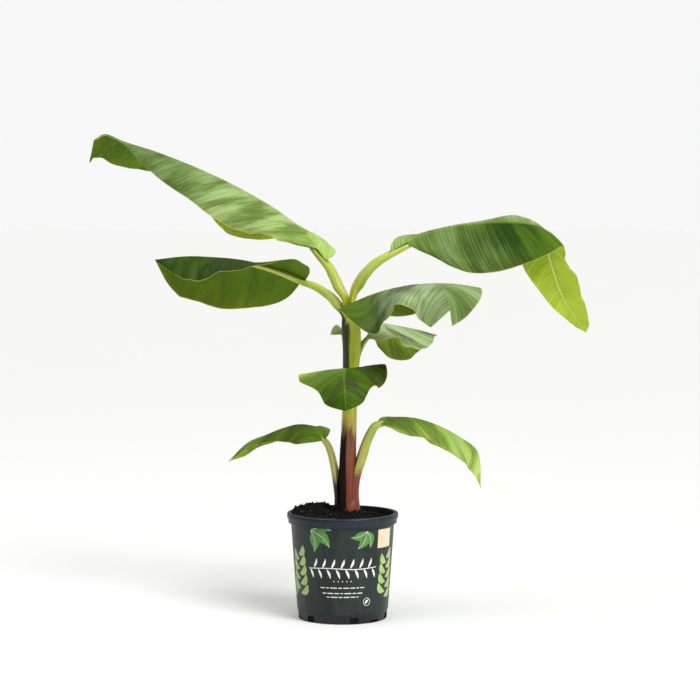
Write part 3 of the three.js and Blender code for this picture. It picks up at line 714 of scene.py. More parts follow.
def side_vein_group():
    """Fine side veins that run from the rib to the margin: a mask and a height."""
    tree, given, made = group(
        "side_veins", [("Place", VECTOR, None), ("Pitch", NUMBER, 0.007)],
        [("Veins", NUMBER, None), ("Height", NUMBER, None)],
    )
    place = given["Place"]
    along_rib = put(tree, "ShaderNodeSeparateXYZ", {0: place}).outputs[0]
    drift = map_noise(tree, place, VEINS["drift"], detail=3.0)
    phase = maths(tree, "MULTIPLY_ADD", drift, VEINS["wander"], along_rib)
    phase = maths(tree, "DIVIDE", phase, given["Pitch"])
    height = 0.5
    for size, count in ((VEINS["coarse"], 1.0), (VEINS["fine"], VEINS["fine_count"])):
        wave = maths(tree, "SINE", maths(tree, "MULTIPLY", phase, count * TAU))
        height = maths(tree, "MULTIPLY_ADD", wave, size, height)
    lines = map_noise(tree, place, VEINS["lines"], roughness=0.6)
    pale = maths(tree, "MULTIPLY_ADD", map_noise(tree, place, VEINS["bands"]), VEINS["band_share"], lines)
    pale = maths(tree, "MULTIPLY_ADD", height, VEINS["height_share"], pale)
    tree.links.new(ramp(tree, pale, *VEINS["pale"]), made["Veins"])
    tree.links.new(height, made["Height"])
    return tree


def streak_group():
    """Blots drawn out along the side veins, and soft clouds, both from 0 to 1."""
    tree, given, made = group(
        "vein_streaks", [("Place", VECTOR, None), ("Seed", NUMBER, 0.0)],
        [("Blots", NUMBER, None), ("Clouds", NUMBER, None)],
    )
    inputs = {0: given["Place"], 1: given["Seed"]}
    place = put(tree, "ShaderNodeVectorMath", inputs, operation="ADD").outputs[0]
    wide = map_noise(tree, place, BLOTS["wide"])
    both = maths(tree, "MULTIPLY", map_noise(tree, place, BLOTS["narrow"]), wide)
    tree.links.new(ramp(tree, both, *BLOTS["blot"]), made["Blots"])
    tree.links.new(ramp(tree, wide, *BLOTS["cloud"]), made["Clouds"])
    return tree


def mottle_group():
    """Uneven colour and grain of a surface: a mask from 0 to 1 and a fine height."""
    tree, given, made = group(
        "mottle", [("Place", VECTOR, None), ("Scale", NUMBER, 30.0), ("Grain", NUMBER, 900.0)],
        [("Mask", NUMBER, None), ("Grain", NUMBER, None)],
    )
    cloud = noise(tree, given["Place"], given["Scale"], MOTTLE["detail"], MOTTLE["roughness"])
    tree.links.new(ramp(tree, cloud, *MOTTLE["cloud"]), made["Mask"])
    tree.links.new(noise(tree, given["Place"], given["Grain"], detail=2.0), made["Grain"])
    return tree


def fibre_group():
    """Long fibres up a stem or stalk: a mask from 0 to 1 that also serves as a height."""
    tree, given, made = group(
        "long_fibres", [("Place", VECTOR, None), ("Scale", NUMBER, 260.0)], [("Fibres", NUMBER, None)]
    )
    drawn = stretched(tree, given["Place"], 1.0, 1.0, FIBRE_DRAW)
    tree.links.new(noise(tree, drawn, given["Scale"]), made["Fibres"])
    return tree


GROUP_MAKERS = {
    "side_veins": side_vein_group, "vein_streaks": streak_group,
    "mottle": mottle_group, "long_fibres": fibre_group,
}


def placed_group(tree, name, **inputs):
    """Shared group placed in a material; it is made the first time it is asked for."""
    shared = bpy.data.node_groups.get(name) or GROUP_MAKERS[name]()
    return put(tree, "ShaderNodeGroup", inputs, node_tree=shared).outputs


class Finish:
    """A material under way: its tree and its one Principled shader."""

    def __init__(self, name, **sockets):
        self.material = bpy.data.materials.new(name)
        self.material.use_nodes = True
        self.tree = self.material.node_tree
        self.shader = self.tree.nodes["Principled BSDF"]
        for key, value in sockets.items():
            self.shader.inputs[key.replace("_", " ")].default_value = value

    def place(self):
        return put(self.tree, "ShaderNodeTexCoord").outputs["Object"]

    def attribute(self, name, output="Fac"):
        node = put(self.tree, "ShaderNodeAttribute", attribute_name=name, attribute_type="GEOMETRY")
        return node.outputs[output]

    def mottle(self, scale, grain=900.0):
        return placed_group(self.tree, "mottle", Place=self.place(), Scale=scale, Grain=grain)

    def fibres(self, scale=260.0):
        return placed_group(self.tree, "long_fibres", Place=self.place(), Scale=scale)["Fibres"]

    def leaf_marks(self, sizes, seed):
        """Side veins and purple blots of a blade, both read from its leaf map."""
        place = put(self.tree, "ShaderNodeUVMap", uv_map="leaf_map").outputs[0]
        veins = placed_group(self.tree, "side_veins", Place=place, Pitch=sizes.vein_pitch)
        return veins, placed_group(self.tree, "vein_streaks", Place=place, Seed=seed)

    def rising(self, mask, least, rise):
        """Value that rises from its least by so much where the mask is 1."""
        return maths(self.tree, "MULTIPLY_ADD", mask, rise, least)

    def times(self, first, second):
        return maths(self.tree, "MULTIPLY", first, second)

    def over(self, base, mask, paint, most=1.0):
        """Paint laid over the base colour by a mask, to cover at most a share of it."""
        return mixed(self.tree, self.times(mask, most), base, paint)

    def edge(self, low, high):
        """0 to 1 while the place across a blade goes from low to high."""
        return ramp(self.tree, self.attribute("across"), low, high)

    def feed(self, socket, value):
        self.tree.links.new(value, self.shader.inputs[socket])

    def done(self, base, rough, height=None, distance=0.0006, strength=0.5):
        """The material with its base colour, its roughness and its relief in metres."""
        self.feed("Base Color", base)
        self.feed("Roughness", rough)
        if height is not None:
            inputs = {"Height": height, "Distance": distance, "Strength": strength}
            self.feed("Normal", put(self.tree, "ShaderNodeBump", inputs).outputs[0])
        return self.material


# How much younger than the rest of a blade its pale side veins look.
VEIN_YOUTH = 0.3


def aged(finish, sizes, age):
    """Green of a blade by its age, which also carries painted light and shade."""
    base = sizes.young_green
    for paint, start in ((sizes.middle_green, 0.0), (sizes.old_green, -1.0)):
        share = maths(finish.tree, "MULTIPLY_ADD", age, 2.0, start, clamp=True)
        base = mixed(finish.tree, share, base, paint)
    return base


def leaf_upper(name, sizes, looks, seed):
    """Waxy upper side: green by age and painted light, pale veins, bloom and painted sheen, purple streaks,
    rib, margin.
    """
    finish = Finish(f"{name}_upper", Subsurface_Weight=0.15, Subsurface_Scale=0.004, Specular_IOR_Level=0.05)
    veins, blots = finish.leaf_marks(sizes, seed)
    evened = 0.4 * VEIN_YOUTH * looks["veins"] - 0.1
    # Age with painted light and shade: lower values paint lit places lighter, higher values shaded places
    # darker.
    age = finish.rising(blots["Clouds"], least=finish.attribute("age"), rise=0.16)
    age = finish.rising(veins["Veins"], least=age, rise=-VEIN_YOUTH * looks["veins"])
    base = aged(finish, sizes, maths(finish.tree, "ADD", age, evened))
    # Bloom with painted sheen: pale grey-green laid on in patches where the upper side gleams.
    bloom = finish.times(finish.rising(blots["Clouds"], least=1.1, rise=-0.8), finish.attribute("bloom"))
    bloom = finish.times(bloom, finish.rising(veins["Veins"], least=0.6, rise=0.8))
    base = finish.over(base, bloom, sizes.bloom_and_sheen_grey)
    streaks = finish.times(blots["Blots"], finish.attribute("streaks"))
    base = finish.over(base, streaks, sizes.streak_purple, most=0.8)
    base = finish.over(base, finish.edge(0.05, 0.0), sizes.rib_green, most=0.3)
    # Margin line: yellow edge colour and painted highlight of the edge.
    base = finish.over(base, finish.edge(0.98, 1.0), sizes.margin, most=0.6)
    rough = finish.rising(blots["Clouds"], least=0.34, rise=0.12)
    return finish.done(base, rough, veins["Height"])


def leaf_under(name, sizes, looks, seed):
    """Softer underside, whose blots are a darker green and whose bright tones paint in light shining through.
    """
    finish = Finish(f"{name}_under", Subsurface_Weight=0.25, Subsurface_Scale=0.004, Specular_IOR_Level=0.12)
    veins, blots = finish.leaf_marks(sizes, seed + 3.0)
    # Underside age is set low where light shining through the blade is painted in as bright yellow green.
    age = finish.rising(blots["Clouds"], least=finish.attribute("under"), rise=0.12)
    age = finish.rising(veins["Veins"], least=age, rise=-VEIN_YOUTH * looks["veins"])
    base = aged(finish, sizes, maths(finish.tree, "SUBTRACT", age, 0.08))
    streaks = finish.times(blots["Blots"], finish.attribute("streaks"))
    base = finish.over(base, streaks, sizes.old_green, most=0.5)
    base = finish.over(base, finish.edge(0.08, 0.0), sizes.rib_bright, most=0.6)
    # Margin line: yellow edge colour and painted highlight of the edge.
    base = finish.over(base, finish.edge(0.97, 1.0), sizes.margin, most=0.6)
    return finish.done(base, finish.rising(veins["Height"], least=0.5, rise=0.1), veins["Height"])


def stalk_finish(sizes):
    """Ribbed green stalk that takes the stem's colours where it hugs the stem."""
    finish = Finish("stalk_skin", Subsurface_Weight=0.15, Subsurface_Scale=0.005, Specular_IOR_Level=0.3)
    fibres = finish.fibres()
    base = finish.over(sizes.rib_green, finish.mottle(22.0)["Mask"], sizes.rib_pale)
    base = finish.over(base, finish.attribute("hug"), finish.attribute("bark", "Color"))
    for key, paint in (("pale", sizes.rib_pale), ("fresh", sizes.rib_bright), ("dry", sizes.papery)):
        base = finish.over(base, finish.attribute(key), paint)
    rough = finish.rising(fibres, least=0.32, rise=0.2)
    return finish.done(base, rough, fibres, distance=0.0004, strength=0.35)


def stem_finish(sizes):
    """Smooth sheaths: colours by height and side, with painted shade on the left, long fibres and a soft
    gloss.
    """
    finish = Finish("stem_skin", Coat_Roughness=0.2, Specular_IOR_Level=0.12)
    fibres = finish.fibres(240.0)
    dry = finish.attribute("dry")
    base = finish.attribute("bark", "Color")
    base = finish.over(base, ramp(finish.tree, fibres, 0.45, 0.8), sizes.black, most=0.4)
    base = finish.over(base, finish.mottle(42.0)["Mask"], sizes.black, most=0.15)
    finish.feed("Coat Weight", finish.rising(dry, least=0.14, rise=-0.14))
    rough = finish.rising(dry, least=finish.rising(fibres, least=0.26, rise=0.3), rise=0.35)
    return finish.done(base, rough, fibres, strength=0.4)


def plastic_finish(sizes):
    """Moulded pot plastic, matt and a little scuffed, with wear and a painted highlight along the lip's
    edges.
    """
    finish = Finish("pot_plastic", Specular_IOR_Level=0.35)
    mottle = finish.mottle(26.0, grain=1400.0)
    scuffs = ramp(finish.tree, finish.fibres(150.0), 0.55, 0.8)
    base = finish.over(sizes.plastic, scuffs, sizes.worn_and_lit_plastic, most=0.3)
    # Lip edges: wear and a painted highlight.
    base = finish.over(base, finish.attribute("worn"), sizes.worn_and_lit_plastic, most=0.45)
    rough = finish.rising(mottle["Mask"], least=0.34, rise=0.14)
    return finish.done(base, rough, mottle["Grain"], distance=0.0002, strength=0.35)


def sleeve_finish(sizes):
    """Printed sleeve moulded on the wall: slate green clouds under a satin gloss."""
    finish = Finish("sleeve_print", Coat_Weight=0.1, Coat_Roughness=0.3, Specular_IOR_Level=0.25)
    tree = finish.tree
    drawn = stretched(tree, finish.place(), 1.0, 1.0, 0.35)
    mottle = placed_group(tree, "mottle", Place=drawn, Scale=24.0, Grain=700.0)
    clouds = finish.times(mottle["Mask"], 0.35)
    light = finish.rising(ramp(tree, finish.fibres(70.0), 0.5, 0.8), least=clouds, rise=0.5)
    base = finish.over(sizes.sleeve, light, sizes.sleeve_light)
    rough = finish.rising(mottle["Mask"], least=0.38, rise=0.12)
    return finish.done(base, rough, mottle["Grain"], distance=0.0001, strength=0.3)


def ink_finish(name, ink, shadow):
    """Printed ink whose tone varies a little."""
    finish = Finish(name, Coat_Weight=0.15, Coat_Roughness=0.35)
    mottle = finish.mottle(90.0)
    base = finish.over(ink, mottle["Mask"], shadow, most=0.35)
    rough = finish.rising(mottle["Mask"], least=0.4, rise=0.1)
    return finish.done(base, rough, mottle["Grain"], distance=0.0001, strength=0.2)


def mix_finish(name, sizes, light, scale):
    """Damp bark: near black to brown, rough, with a few damp glints."""
    finish = Finish(name, Specular_IOR_Level=0.2)
    mottle = finish.mottle(scale, grain=1600.0)
    base = finish.over(sizes.dark, mottle["Mask"], sizes.light, most=light)
    rough = finish.rising(mottle["Mask"], least=0.6, rise=0.35)
    return finish.done(base, rough, mottle["Grain"], distance=0.0008, strength=0.8)


def bead_finish(sizes):
    """Blue green coating of a feed bead, glossy in places."""
    finish = Finish("feed_bead", Coat_Weight=0.4)
    mask = finish.mottle(400.0)["Mask"]
    base = finish.over(sizes.bead, mask, sizes.dark, most=0.4)
    return finish.done(base, finish.rising(mask, least=0.3, rise=0.2))


def floor_finish(sizes):
    """Pale matt floor, almost even."""
    finish = Finish("pale_floor")
    mask = finish.mottle(2.0, grain=40.0)["Mask"]
    base = finish.over(sizes.floor, mask, sizes.sky, most=0.02)
    return finish.done(base, finish.rising(mask, least=0.7, rise=0.05))


# ---- pieces -------------------------------------------------------------------------
def settle(item, slot, *nodes):
    """The piece rides on the plant's body and stands for its nodes. Its slot is not used."""
    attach(item, BODY)
    if nodes:
        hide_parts(*nodes)


def pot_outline():
    """Outline of the pot: out from the foot, up the outside and down the inside."""
    height, skirt, lip = POT["height"], POT["skirt_radius"], POT["lip_radius"]
    lip_foot = height - POT["lip_height"]
    skirt_foot = lip_foot - POT["skirt_height"]
    inside = skirt - POT["skirt_wall"]

    def corner(name, radius, level):
        return [(radius + out, level + up) for out, up in CORNERS[name]]

    def wall(levels, inward=0):
        return [(wall_radius(z) - inward, z) for z in levels]

    band = POT["foot_band"]
    return [
        *corner("foot", POT["foot_radius"], 0), *corner("band", wall_radius(band), band),
        *wall((band + POT["band_ease"], *POT["wall_levels"], height - POT["tuck"])),
        (inside, height - POT["tuck"]), *corner("skirt_inside", inside, skirt_foot),
        *corner("skirt_outside", skirt, skirt_foot), *corner("skirt_top", skirt, lip_foot),
        *corner("lip_foot", lip, lip_foot), *corner("lip_top", lip, height),
        *corner("mouth", wall_radius(height) - POT["wall"], height),
        *wall((*POT["inner_levels"], POT["floor"]), POT["wall"]),
    ]


def make_pot(sizes):
    """Turned pot with a rolled lip, a skirt, a recessed foot band and drainage slots."""
    angle = np.linspace(0, TAU, sizes.facets, endpoint=False)
    ring, level = np.array(pot_outline()).T[..., None]
    points, faces = tube(stacked(ring * np.cos(angle), ring * np.sin(angle), level))
    points[-2:] = [(0, 0, 0), (0, 0, POT["floor"])]
    item = mesh_object("pot_body", points, faces, [plastic_finish(sizes)])
    lip_foot = POT["height"] - POT["lip_height"]
    # Band along the lip's top and foot, worn and painted lighter as a highlight.
    edge = np.minimum(np.abs(points[:, 2] - POT["height"]), np.abs(points[:, 2] - lip_foot))
    outside = np.hypot(points[:, 0], points[:, 1]) > POT["skirt_radius"] - 1
    store(item, "worn", np.where(outside, np.clip(1 - edge / POT["wear_and_highlight_band"], 0, 1), 0))
    cutter = slot_cutter()
    cut = item.modifiers.new("slots", "BOOLEAN")
    cut.object = cutter
    cut.solver = "EXACT"
    item = applied(item)
    bpy.data.objects.remove(cutter)
    shade(item, 38)
    settle(item, "pot", "pot")


def slot_cutter():
    """Blocks that cut the drainage slots low in the wall."""
    maker = bmesh.new()
    for cut in (SLOT, NOTCH):
        for degrees in cut["angles"]:
            place = Matrix.Rotation(math.radians(degrees), 4, "Z") @ Matrix.Translation(
                ((POT["foot_radius"] - 1) * MM, 0, (cut["sill"] + cut["tall"] / 2) * MM)
            )
            size = Matrix.Diagonal((cut["deep"] * MM, cut["wide"] * MM, cut["tall"] * MM, 1))
            bmesh.ops.create_cube(maker, size=1.0, matrix=place @ size)
    return poured("slot_cutter", maker)


# The printed design in millimetres: places are to the right of the front middle and up
# from the pot's foot. Sprays have a foot, a heading in degrees and a size. Pods hang on
# both sides of their stalk's foot. Rules have a level, a reach and a first run.
SLEEVE = {
    "foot": 17.6, "top": 176, "level": 100, "seam": 4, "columns": 181, "rows": 12,
    "lift": 0.3, "thick": 0.25, "mark": 0.34, "vein": 0.06,
}
SPRAYS = (
    (-58, 172, -40, 46), (44, 171, -118, 36), (150, 160, -90, 44), (-160, 60, 80, 48),
    (-122, 44, 84, 40), (225, 70, 96, 46), (-232, 150, -100, 46),
)
SPRAY = {
    "leaves": 3, "fan": 42, "shrink": 0.14, "bow": 0.48, "joints": (0.35, 0.7, 1.0), "stalk": 0.3,
    "leaf_widths": (0.2, 0.24, 0.13), "point": 0.2, "vein_widths": (0.35, 0.3, 0.2),
}
PODS = {
    "feet": ((-94, 52), (95, 46), (-190, 84), (190, 96)), "count": 9, "pitch": 9, "long": 22,
    "rise": 18, "bow": 4, "widths": (0.6, 5.4, 5.8, 0.6),
}
GARLAND = {
    "leaves": 15, "reach": 60, "level": 103, "leaf": ((-3, 1), (1.5, 10), (3.5, 18)),
    "widths": (0.4, 2.1, 1.7, 0.3), "twine": ((-66, 102), (-22, 104), (22, 102), (66, 104)),
    "twine_widths": (0.7, 0.8, 0.7),
}
DOTS = {"count": 5, "pitch": 8, "level": 80, "radius": 1.0}
RULES = {
    "rows": ((68, 42, 0), (58, 38, 3), (51, 30, 1)), "runs": (9, 5, 13, 7, 11), "gap": 2.4,
    "widths": (0.8, 0.8),
}
BADGE = {
    "place": (48, 41), "radius": 7.5, "hole": 6.7, "leaf": ((44, 37), (47, 41), (52, 45)),
    "widths": (0.3, 2.2, 0.3),
}
PATCH = {"x": (68, 104), "z": (138, 172), "columns": 10, "rows": 6}


def on_sleeve(x, z, lift):
    """Point on the sleeve x millimetres to the right of the front middle, at height z."""
    radius = wall_radius(z) + lift
    turn = x / wall_radius(SLEEVE["level"]) - TAU / 4
    return np.stack([radius * np.cos(turn), radius * np.sin(turn), z], -1)


def sleeve_patch(x, z, lift, thickness=0.2):
    """Closed thin patch from grids of places on the sleeve."""
    return shell(on_sleeve(x, z, lift), on_sleeve(x, z, lift - thickness))


def printed_strip(spine, widths, lift, rows=24, columns=5, least=0.05):
    """Strip along a spine of (x, z) points with a row of half widths."""
    share = np.linspace(0, 1, rows)
    line = smooth_row(spine, share * (len(spine) - 1))
    ahead = unit(np.gradient(line, axis=0))
    half = np.maximum(smooth_row(widths, share * (len(widths) - 1))[:, 0], least)
    across = np.linspace(-1, 1, columns)
    x = line[:, :1] - ahead[:, 1:] * half[:, None] * across
    z = line[:, 1:] + ahead[:, :1] * half[:, None] * across
    return sleeve_patch(x[:, ::-1], z[:, ::-1], lift)


def printed_dot(x, z, radius, lift, hole=0.02, rows=24):
    """Disc or ring, made as a strip round its middle."""
    turn = np.linspace(0, TAU, rows + 1)[:, None]
    reach = np.linspace(hole, radius, 3)[None]
    return sleeve_patch(x + reach * np.cos(turn), z + reach * np.sin(turn), lift)


def joined(name, shells, material):
    """One object from several shells."""
    points, faces, start = [], [], 0
    for shell_points, shell_faces, _ in shells:
        points.append(shell_points)
        faces += [tuple(start + i for i in face) for face in shell_faces]
        start += len(shell_points)
    return mesh_object(name, np.concatenate(points), faces, [material])


def leaf_spray(x, z, heading, size):
    """Spines and widths of a spray: leaves that fan out from one foot."""
    strips = []
    for k in range(SPRAY["leaves"]):
        aside = k - (SPRAY["leaves"] - 1) / 2
        turn = math.radians(heading + aside * SPRAY["fan"])
        reach = size * (1 - SPRAY["shrink"] * abs(aside))
        spine = [(x, z)]
        for share in SPRAY["joints"]:
            side = SPRAY["bow"] * reach * share * (1 - share)
            ahead = reach * share
            spine.append((x + ahead * math.cos(turn) - side * math.sin(turn),
                          z + ahead * math.sin(turn) + side * math.cos(turn)))
        widths = [reach * share for share in SPRAY["leaf_widths"]]
        strips.append((spine, [SPRAY["stalk"], *widths, SPRAY["point"]]))
    return strips


def printed_pods(lift):
    """Stalks of pods that hang to the left and the right in turn."""
    pods = []
    for foot_x, foot_z in PODS["feet"]:
        for k in range(PODS["count"]):
            side = -1 if k % 2 else 1
            z = foot_z + PODS["pitch"] * k
            tip = (foot_x + side * (PODS["long"] - k), z + PODS["rise"])
            middle = ((foot_x + tip[0]) / 2 + side * PODS["bow"], (z + tip[1]) / 2 - PODS["bow"])
            pods.append(printed_strip([(foot_x, z), middle, tip], PODS["widths"], lift))
    return pods


def printed_marks(lift):
    """Garland with its twine, a row of dots, broken rules and a small ring with a leaf."""
    marks = []
    reach = GARLAND["reach"]
    for k in range(GARLAND["leaves"]):
        x = -reach + k * 2 * reach / (GARLAND["leaves"] - 1)
        side = 1 if k % 2 else -1
        spine = [(x + out, GARLAND["level"] + side * up) for out, up in GARLAND["leaf"]]
        marks.append(printed_strip(spine, GARLAND["widths"], lift))
    marks.append(printed_strip(GARLAND["twine"], GARLAND["twine_widths"], lift, rows=60, columns=3))
    for k in range(DOTS["count"]):
        x = DOTS["pitch"] * (k - (DOTS["count"] - 1) / 2)
        marks.append(printed_dot(x, DOTS["level"], DOTS["radius"], lift))
    for level, reach, k in RULES["rows"]:
        x = -reach
        while x < reach:
            run = RULES["runs"][k % len(RULES["runs"])]
            spine = [(x, level), (min(x + run, reach), level)]
            marks.append(printed_strip(spine, RULES["widths"], lift, rows=4, columns=3))
            x += run + RULES["gap"]
            k += 1
    marks.append(printed_dot(*BADGE["place"], BADGE["radius"], lift, BADGE["hole"], rows=40))
    marks.append(printed_strip(BADGE["leaf"], BADGE["widths"], lift))
    return marks


def make_sleeve(sizes):
    """Printed sleeve with a generic design: leaf sprays, pods, a garland, rules and a patch."""
    mark = SLEEVE["mark"] + sizes.print_height / MM
    half_turn = wall_radius(SLEEVE["level"]) * math.pi - SLEEVE["seam"]
    x = np.linspace(-half_turn, half_turn, SLEEVE["columns"])
    grid = np.meshgrid(x, np.linspace(SLEEVE["foot"], SLEEVE["top"], SLEEVE["rows"]))
    sleeve = joined("sleeve", [sleeve_patch(*grid, SLEEVE["lift"], SLEEVE["thick"])], sleeve_finish(sizes))
    settle(sleeve, "pot")
    strips = [strip for spray in SPRAYS for strip in leaf_spray(*spray)]
    leaves = [printed_strip(*strip, mark) for strip in strips]
    veins = [printed_strip(spine, SPRAY["vein_widths"], mark + SLEEVE["vein"], columns=3)
             for spine, _ in strips]
    patch = np.meshgrid(np.linspace(*PATCH["x"], PATCH["columns"]), np.linspace(*PATCH["z"], PATCH["rows"]))
    for name, shells, ink, shadow in (
        ("sleeve_leaves", leaves, sizes.leaf_print, sizes.sleeve),
        ("sleeve_pods", printed_pods(mark), sizes.fruit_print, sizes.leaf_print),
        ("sleeve_marks", veins + printed_marks(mark), sizes.mark_print, sizes.mark_print),
        ("sleeve_patch", [sleeve_patch(*patch, mark)], sizes.tag_print, sizes.mark_print),
    ):
        item = joined(name, shells, ink_finish(f"{name}_ink", ink, shadow))
        shade(item)
        settle(item, "pot")
    shade(sleeve)


def scatter_tree():
    """Geometry nodes that scatter copies of one shape over a surface and drop the surface."""
    tree, given, made = group(
        "scatter",
        [("Surface", SHAPE, None), ("Shape", "NodeSocketObject", None), ("Density", NUMBER, 1000.0),
         ("Smallest", NUMBER, 0.4), ("Largest", NUMBER, 1.0), ("Seed", "NodeSocketInt", 0),
         ("Finish", "NodeSocketMaterial", None)],
        [("Pieces", SHAPE, None)], "GeometryNodeTree",
    )
    seed = given["Seed"]
    spread = put(tree, "GeometryNodeDistributePointsOnFaces",
                 {"Mesh": given["Surface"], "Density": given["Density"], "Seed": seed})
    shape = put(tree, "GeometryNodeObjectInfo", {"Object": given["Shape"]})
    turn = put(tree, "FunctionNodeRandomValue", {"Min": (0, 0, 0), "Max": (TAU, TAU, TAU), "Seed": seed},
               data_type="FLOAT_VECTOR")
    size = put(tree, "FunctionNodeRandomValue",
               {2: given["Smallest"], 3: given["Largest"], "Seed": seed}, data_type="FLOAT")
    copies = put(tree, "GeometryNodeInstanceOnPoints",
                 {"Points": spread.outputs["Points"], "Instance": shape.outputs["Geometry"],
                  "Rotation": turn.outputs["Value"], "Scale": size.outputs[1]})
    real = put(tree, "GeometryNodeRealizeInstances", {0: copies.outputs[0]})
    ready = put(tree, "GeometryNodeSetMaterial", {"Geometry": real.outputs[0], "Material": given["Finish"]})
    tree.links.new(ready.outputs[0], made["Pieces"])
    return tree


def chunk(name, seed, size, stretch, corners=11):
    """Angular chunk: the hull of a few seeded corners."""
    spots = np.random.default_rng(seed).normal(size=(corners, 3))
    spots = unit(spots) * size * MM * np.array([1.0, *stretch])
    maker = bmesh.new()
    for spot in spots:
        maker.verts.new(spot)
    found = bmesh.ops.convex_hull(maker, input=maker.verts)
    bmesh.ops.delete(maker, geom=list({*found["geom_interior"], *found["geom_unused"]}), context="VERTS")
    return poured(name, maker)


def scattered(name, surface, shape, tree, **inputs):
    """Plain mesh of one shape scattered over a surface mesh. The shape itself goes."""
    item = linked(name, surface.copy())
    modifier = item.modifiers.new("scatter", "NODES")
    modifier.node_group = tree
    values = {"Shape": shape, **inputs}
    for socket in tree.interface.items_tree:
        if socket.in_out == "INPUT" and socket.name in values:
            modifier[socket.identifier] = values[socket.name]
    item = applied(item)
    bpy.data.objects.remove(shape)
    return item


# Mesh of the mix: rim is the height it meets the wall at, gap and foot_gap how far it
# stays off the pot, and eye the share of its radius that the middle fan takes. Round the
# stem's foot stands a low collar, with crumbs from fine to full outside it, and no bark
# lies nearer to the foot than bare.
MIX_TOP = {
    "rows": 64, "columns": 160, "rim": 182, "gap": 0.7, "foot_gap": 0.6, "floor_gap": 0.3, "eye": 0.012,
    "crumb": 1.1, "crumb_pitches": (2.3, 3.1, 2.7, 4.2), "fine": 24, "full": 32,
    "collar": 3.4, "collar_x": 6, "collar_radius": 25, "collar_spread": 5, "lobes": 5, "least": 0.7,
    "bare_x": 9, "bare": 17,
}
# Bark pieces: seed, length and breadths against the largest chip, share of the density,
# and how light they are.
BARK = {
    "chips": {"seed": 11, "size": 1.0, "stretch": (0.62, 0.38), "share": 0.5, "light": 0.35},
    "slivers": {"seed": 12, "size": 1.35, "stretch": (0.3, 0.2), "share": 0.25, "light": 0.9},
    "crumbs": {"seed": 13, "size": 0.55, "stretch": (0.8, 0.7), "share": 0.9, "light": 0.2},
}
BEAD = {"seed": 14, "corners": 40, "rise": 1.6}


def mix_surface():
    """Grid of the mix from the pot's wall to the middle."""
    reach = wall_radius(MIX_TOP["rim"]) - POT["wall"] - MIX_TOP["gap"]
    radius = reach * np.linspace(1, MIX_TOP["eye"], MIX_TOP["rows"])[:, None]
    angle = np.linspace(0, TAU, MIX_TOP["columns"], endpoint=False)
    x, y = radius * np.cos(angle), radius * np.sin(angle)
    a, b, c, d = MIX_TOP["crumb_pitches"]
    crumbs = MIX_TOP["crumb"] * np.sin(x / a + np.sin(y / b)) * np.cos(y / c + np.sin(x / d))
    aside = x - MIX_TOP["collar_x"]
    away = np.hypot(aside, y)
    collar = np.exp(-((away - MIX_TOP["collar_radius"]) / MIX_TOP["collar_spread"]) ** 2)
    lobes = np.sin(MIX_TOP["lobes"] * np.arctan2(y, aside))
    collar = MIX_TOP["collar"] * collar * (MIX_TOP["least"] + (1 - MIX_TOP["least"]) * lobes)
    crumbs = crumbs * smoothstep(MIX_TOP["fine"], MIX_TOP["full"], away)
    return np.stack([x, y, mix_height(x, y) + collar + crumbs], -1)


def bark_bed(top):
    """Upper face of the mix without the part round the stem's foot, where no bark lies."""
    faces = grid_faces(*top.shape[:2], closed=True)
    points = top.reshape(-1, 3)
    middles = points[np.array(faces)].mean(1)
    away = np.hypot(middles[:, 0] - MIX_TOP["bare_x"], middles[:, 1])
    return mesh_object("mix_surface", points, [f for f, r in zip(faces, away) if r >= MIX_TOP["bare"]], [])


def make_mix(sizes):
    """Potting mix: a lumpy closed body, bark chips of three shapes and a few feed beads."""
    top = mix_surface()
    foot_radius = wall_radius(POT["floor"]) - POT["wall"] - MIX_TOP["foot_gap"]
    angle = np.linspace(0, TAU, top.shape[1], endpoint=False)
    level = POT["floor"] + MIX_TOP["floor_gap"]
    foot = stacked(foot_radius * np.cos(angle), foot_radius * np.sin(angle), level)
    points, faces = tube(np.concatenate([foot[None], top]))
    finish = mix_finish("mix_bed", sizes, light=0.25, scale=160.0)
    body = mesh_object("potting_mix_body", points, faces, [finish])
    shade(body, 70)
    settle(body, "potting_mix", "potting_mix")
    bed = bark_bed(top)
    tree = scatter_tree()
    for name, bark in BARK.items():
        shape = chunk(f"{name}_shape", bark["seed"], bark["size"] * sizes.chip_size / MM, bark["stretch"])
        item = scattered(
            f"bark_{name}", bed.data, shape, tree, Density=sizes.chip_density * bark["share"],
            Smallest=0.35, Largest=1.0, Seed=sizes.seed + bark["seed"],
            Finish=mix_finish(f"mix_{name}", sizes, bark["light"], scale=300.0),
        )
        settle(item, "potting_mix")
    shape = chunk("feed_bead_shape", BEAD["seed"], sizes.bead_size / MM, (1, 1), BEAD["corners"])
    beads = scattered(
        "feed_beads", bed.data, shape, tree, Density=sizes.bead_density, Smallest=0.8, Largest=1.1,
        Seed=sizes.seed, Finish=bead_finish(sizes),
    )
    beads.data.transform(Matrix.Translation((0, 0, BEAD["rise"] * MM)))
    shade(beads, 60)
    settle(beads, "potting_mix")
    bpy.data.objects.remove(bed)


# Edges of old sheaths on the stem: height where the edge starts and ends, and its
# side there in degrees, counted from +X.
SHEATH_EDGES = (
    (196, 205, 352, 258), (196, 300, 430, 285), (330, 250, 520, 292), (430, 262, 566, 200),
    (210, 20, 470, 60), (380, 120, 560, 150),
)
# How a sheath's edge sets in below and above its ends, and falls away round the stem.
SHEATH = {"below": (-14, 6), "above": (14, -6), "fall": 55, "reach": 300}
# Long fibres round the stem: height against the size a user sets, count and phase.
FIBRES = ((1, 17, 0), (0.6, 29, 1))
# Waves of the bark's bands round the stem: height, lobes and millimetres to a radian.
BARK_WAVES = ((7, 3, 21), (5, 5, -13))
FRAYED = (4, 11, -7)
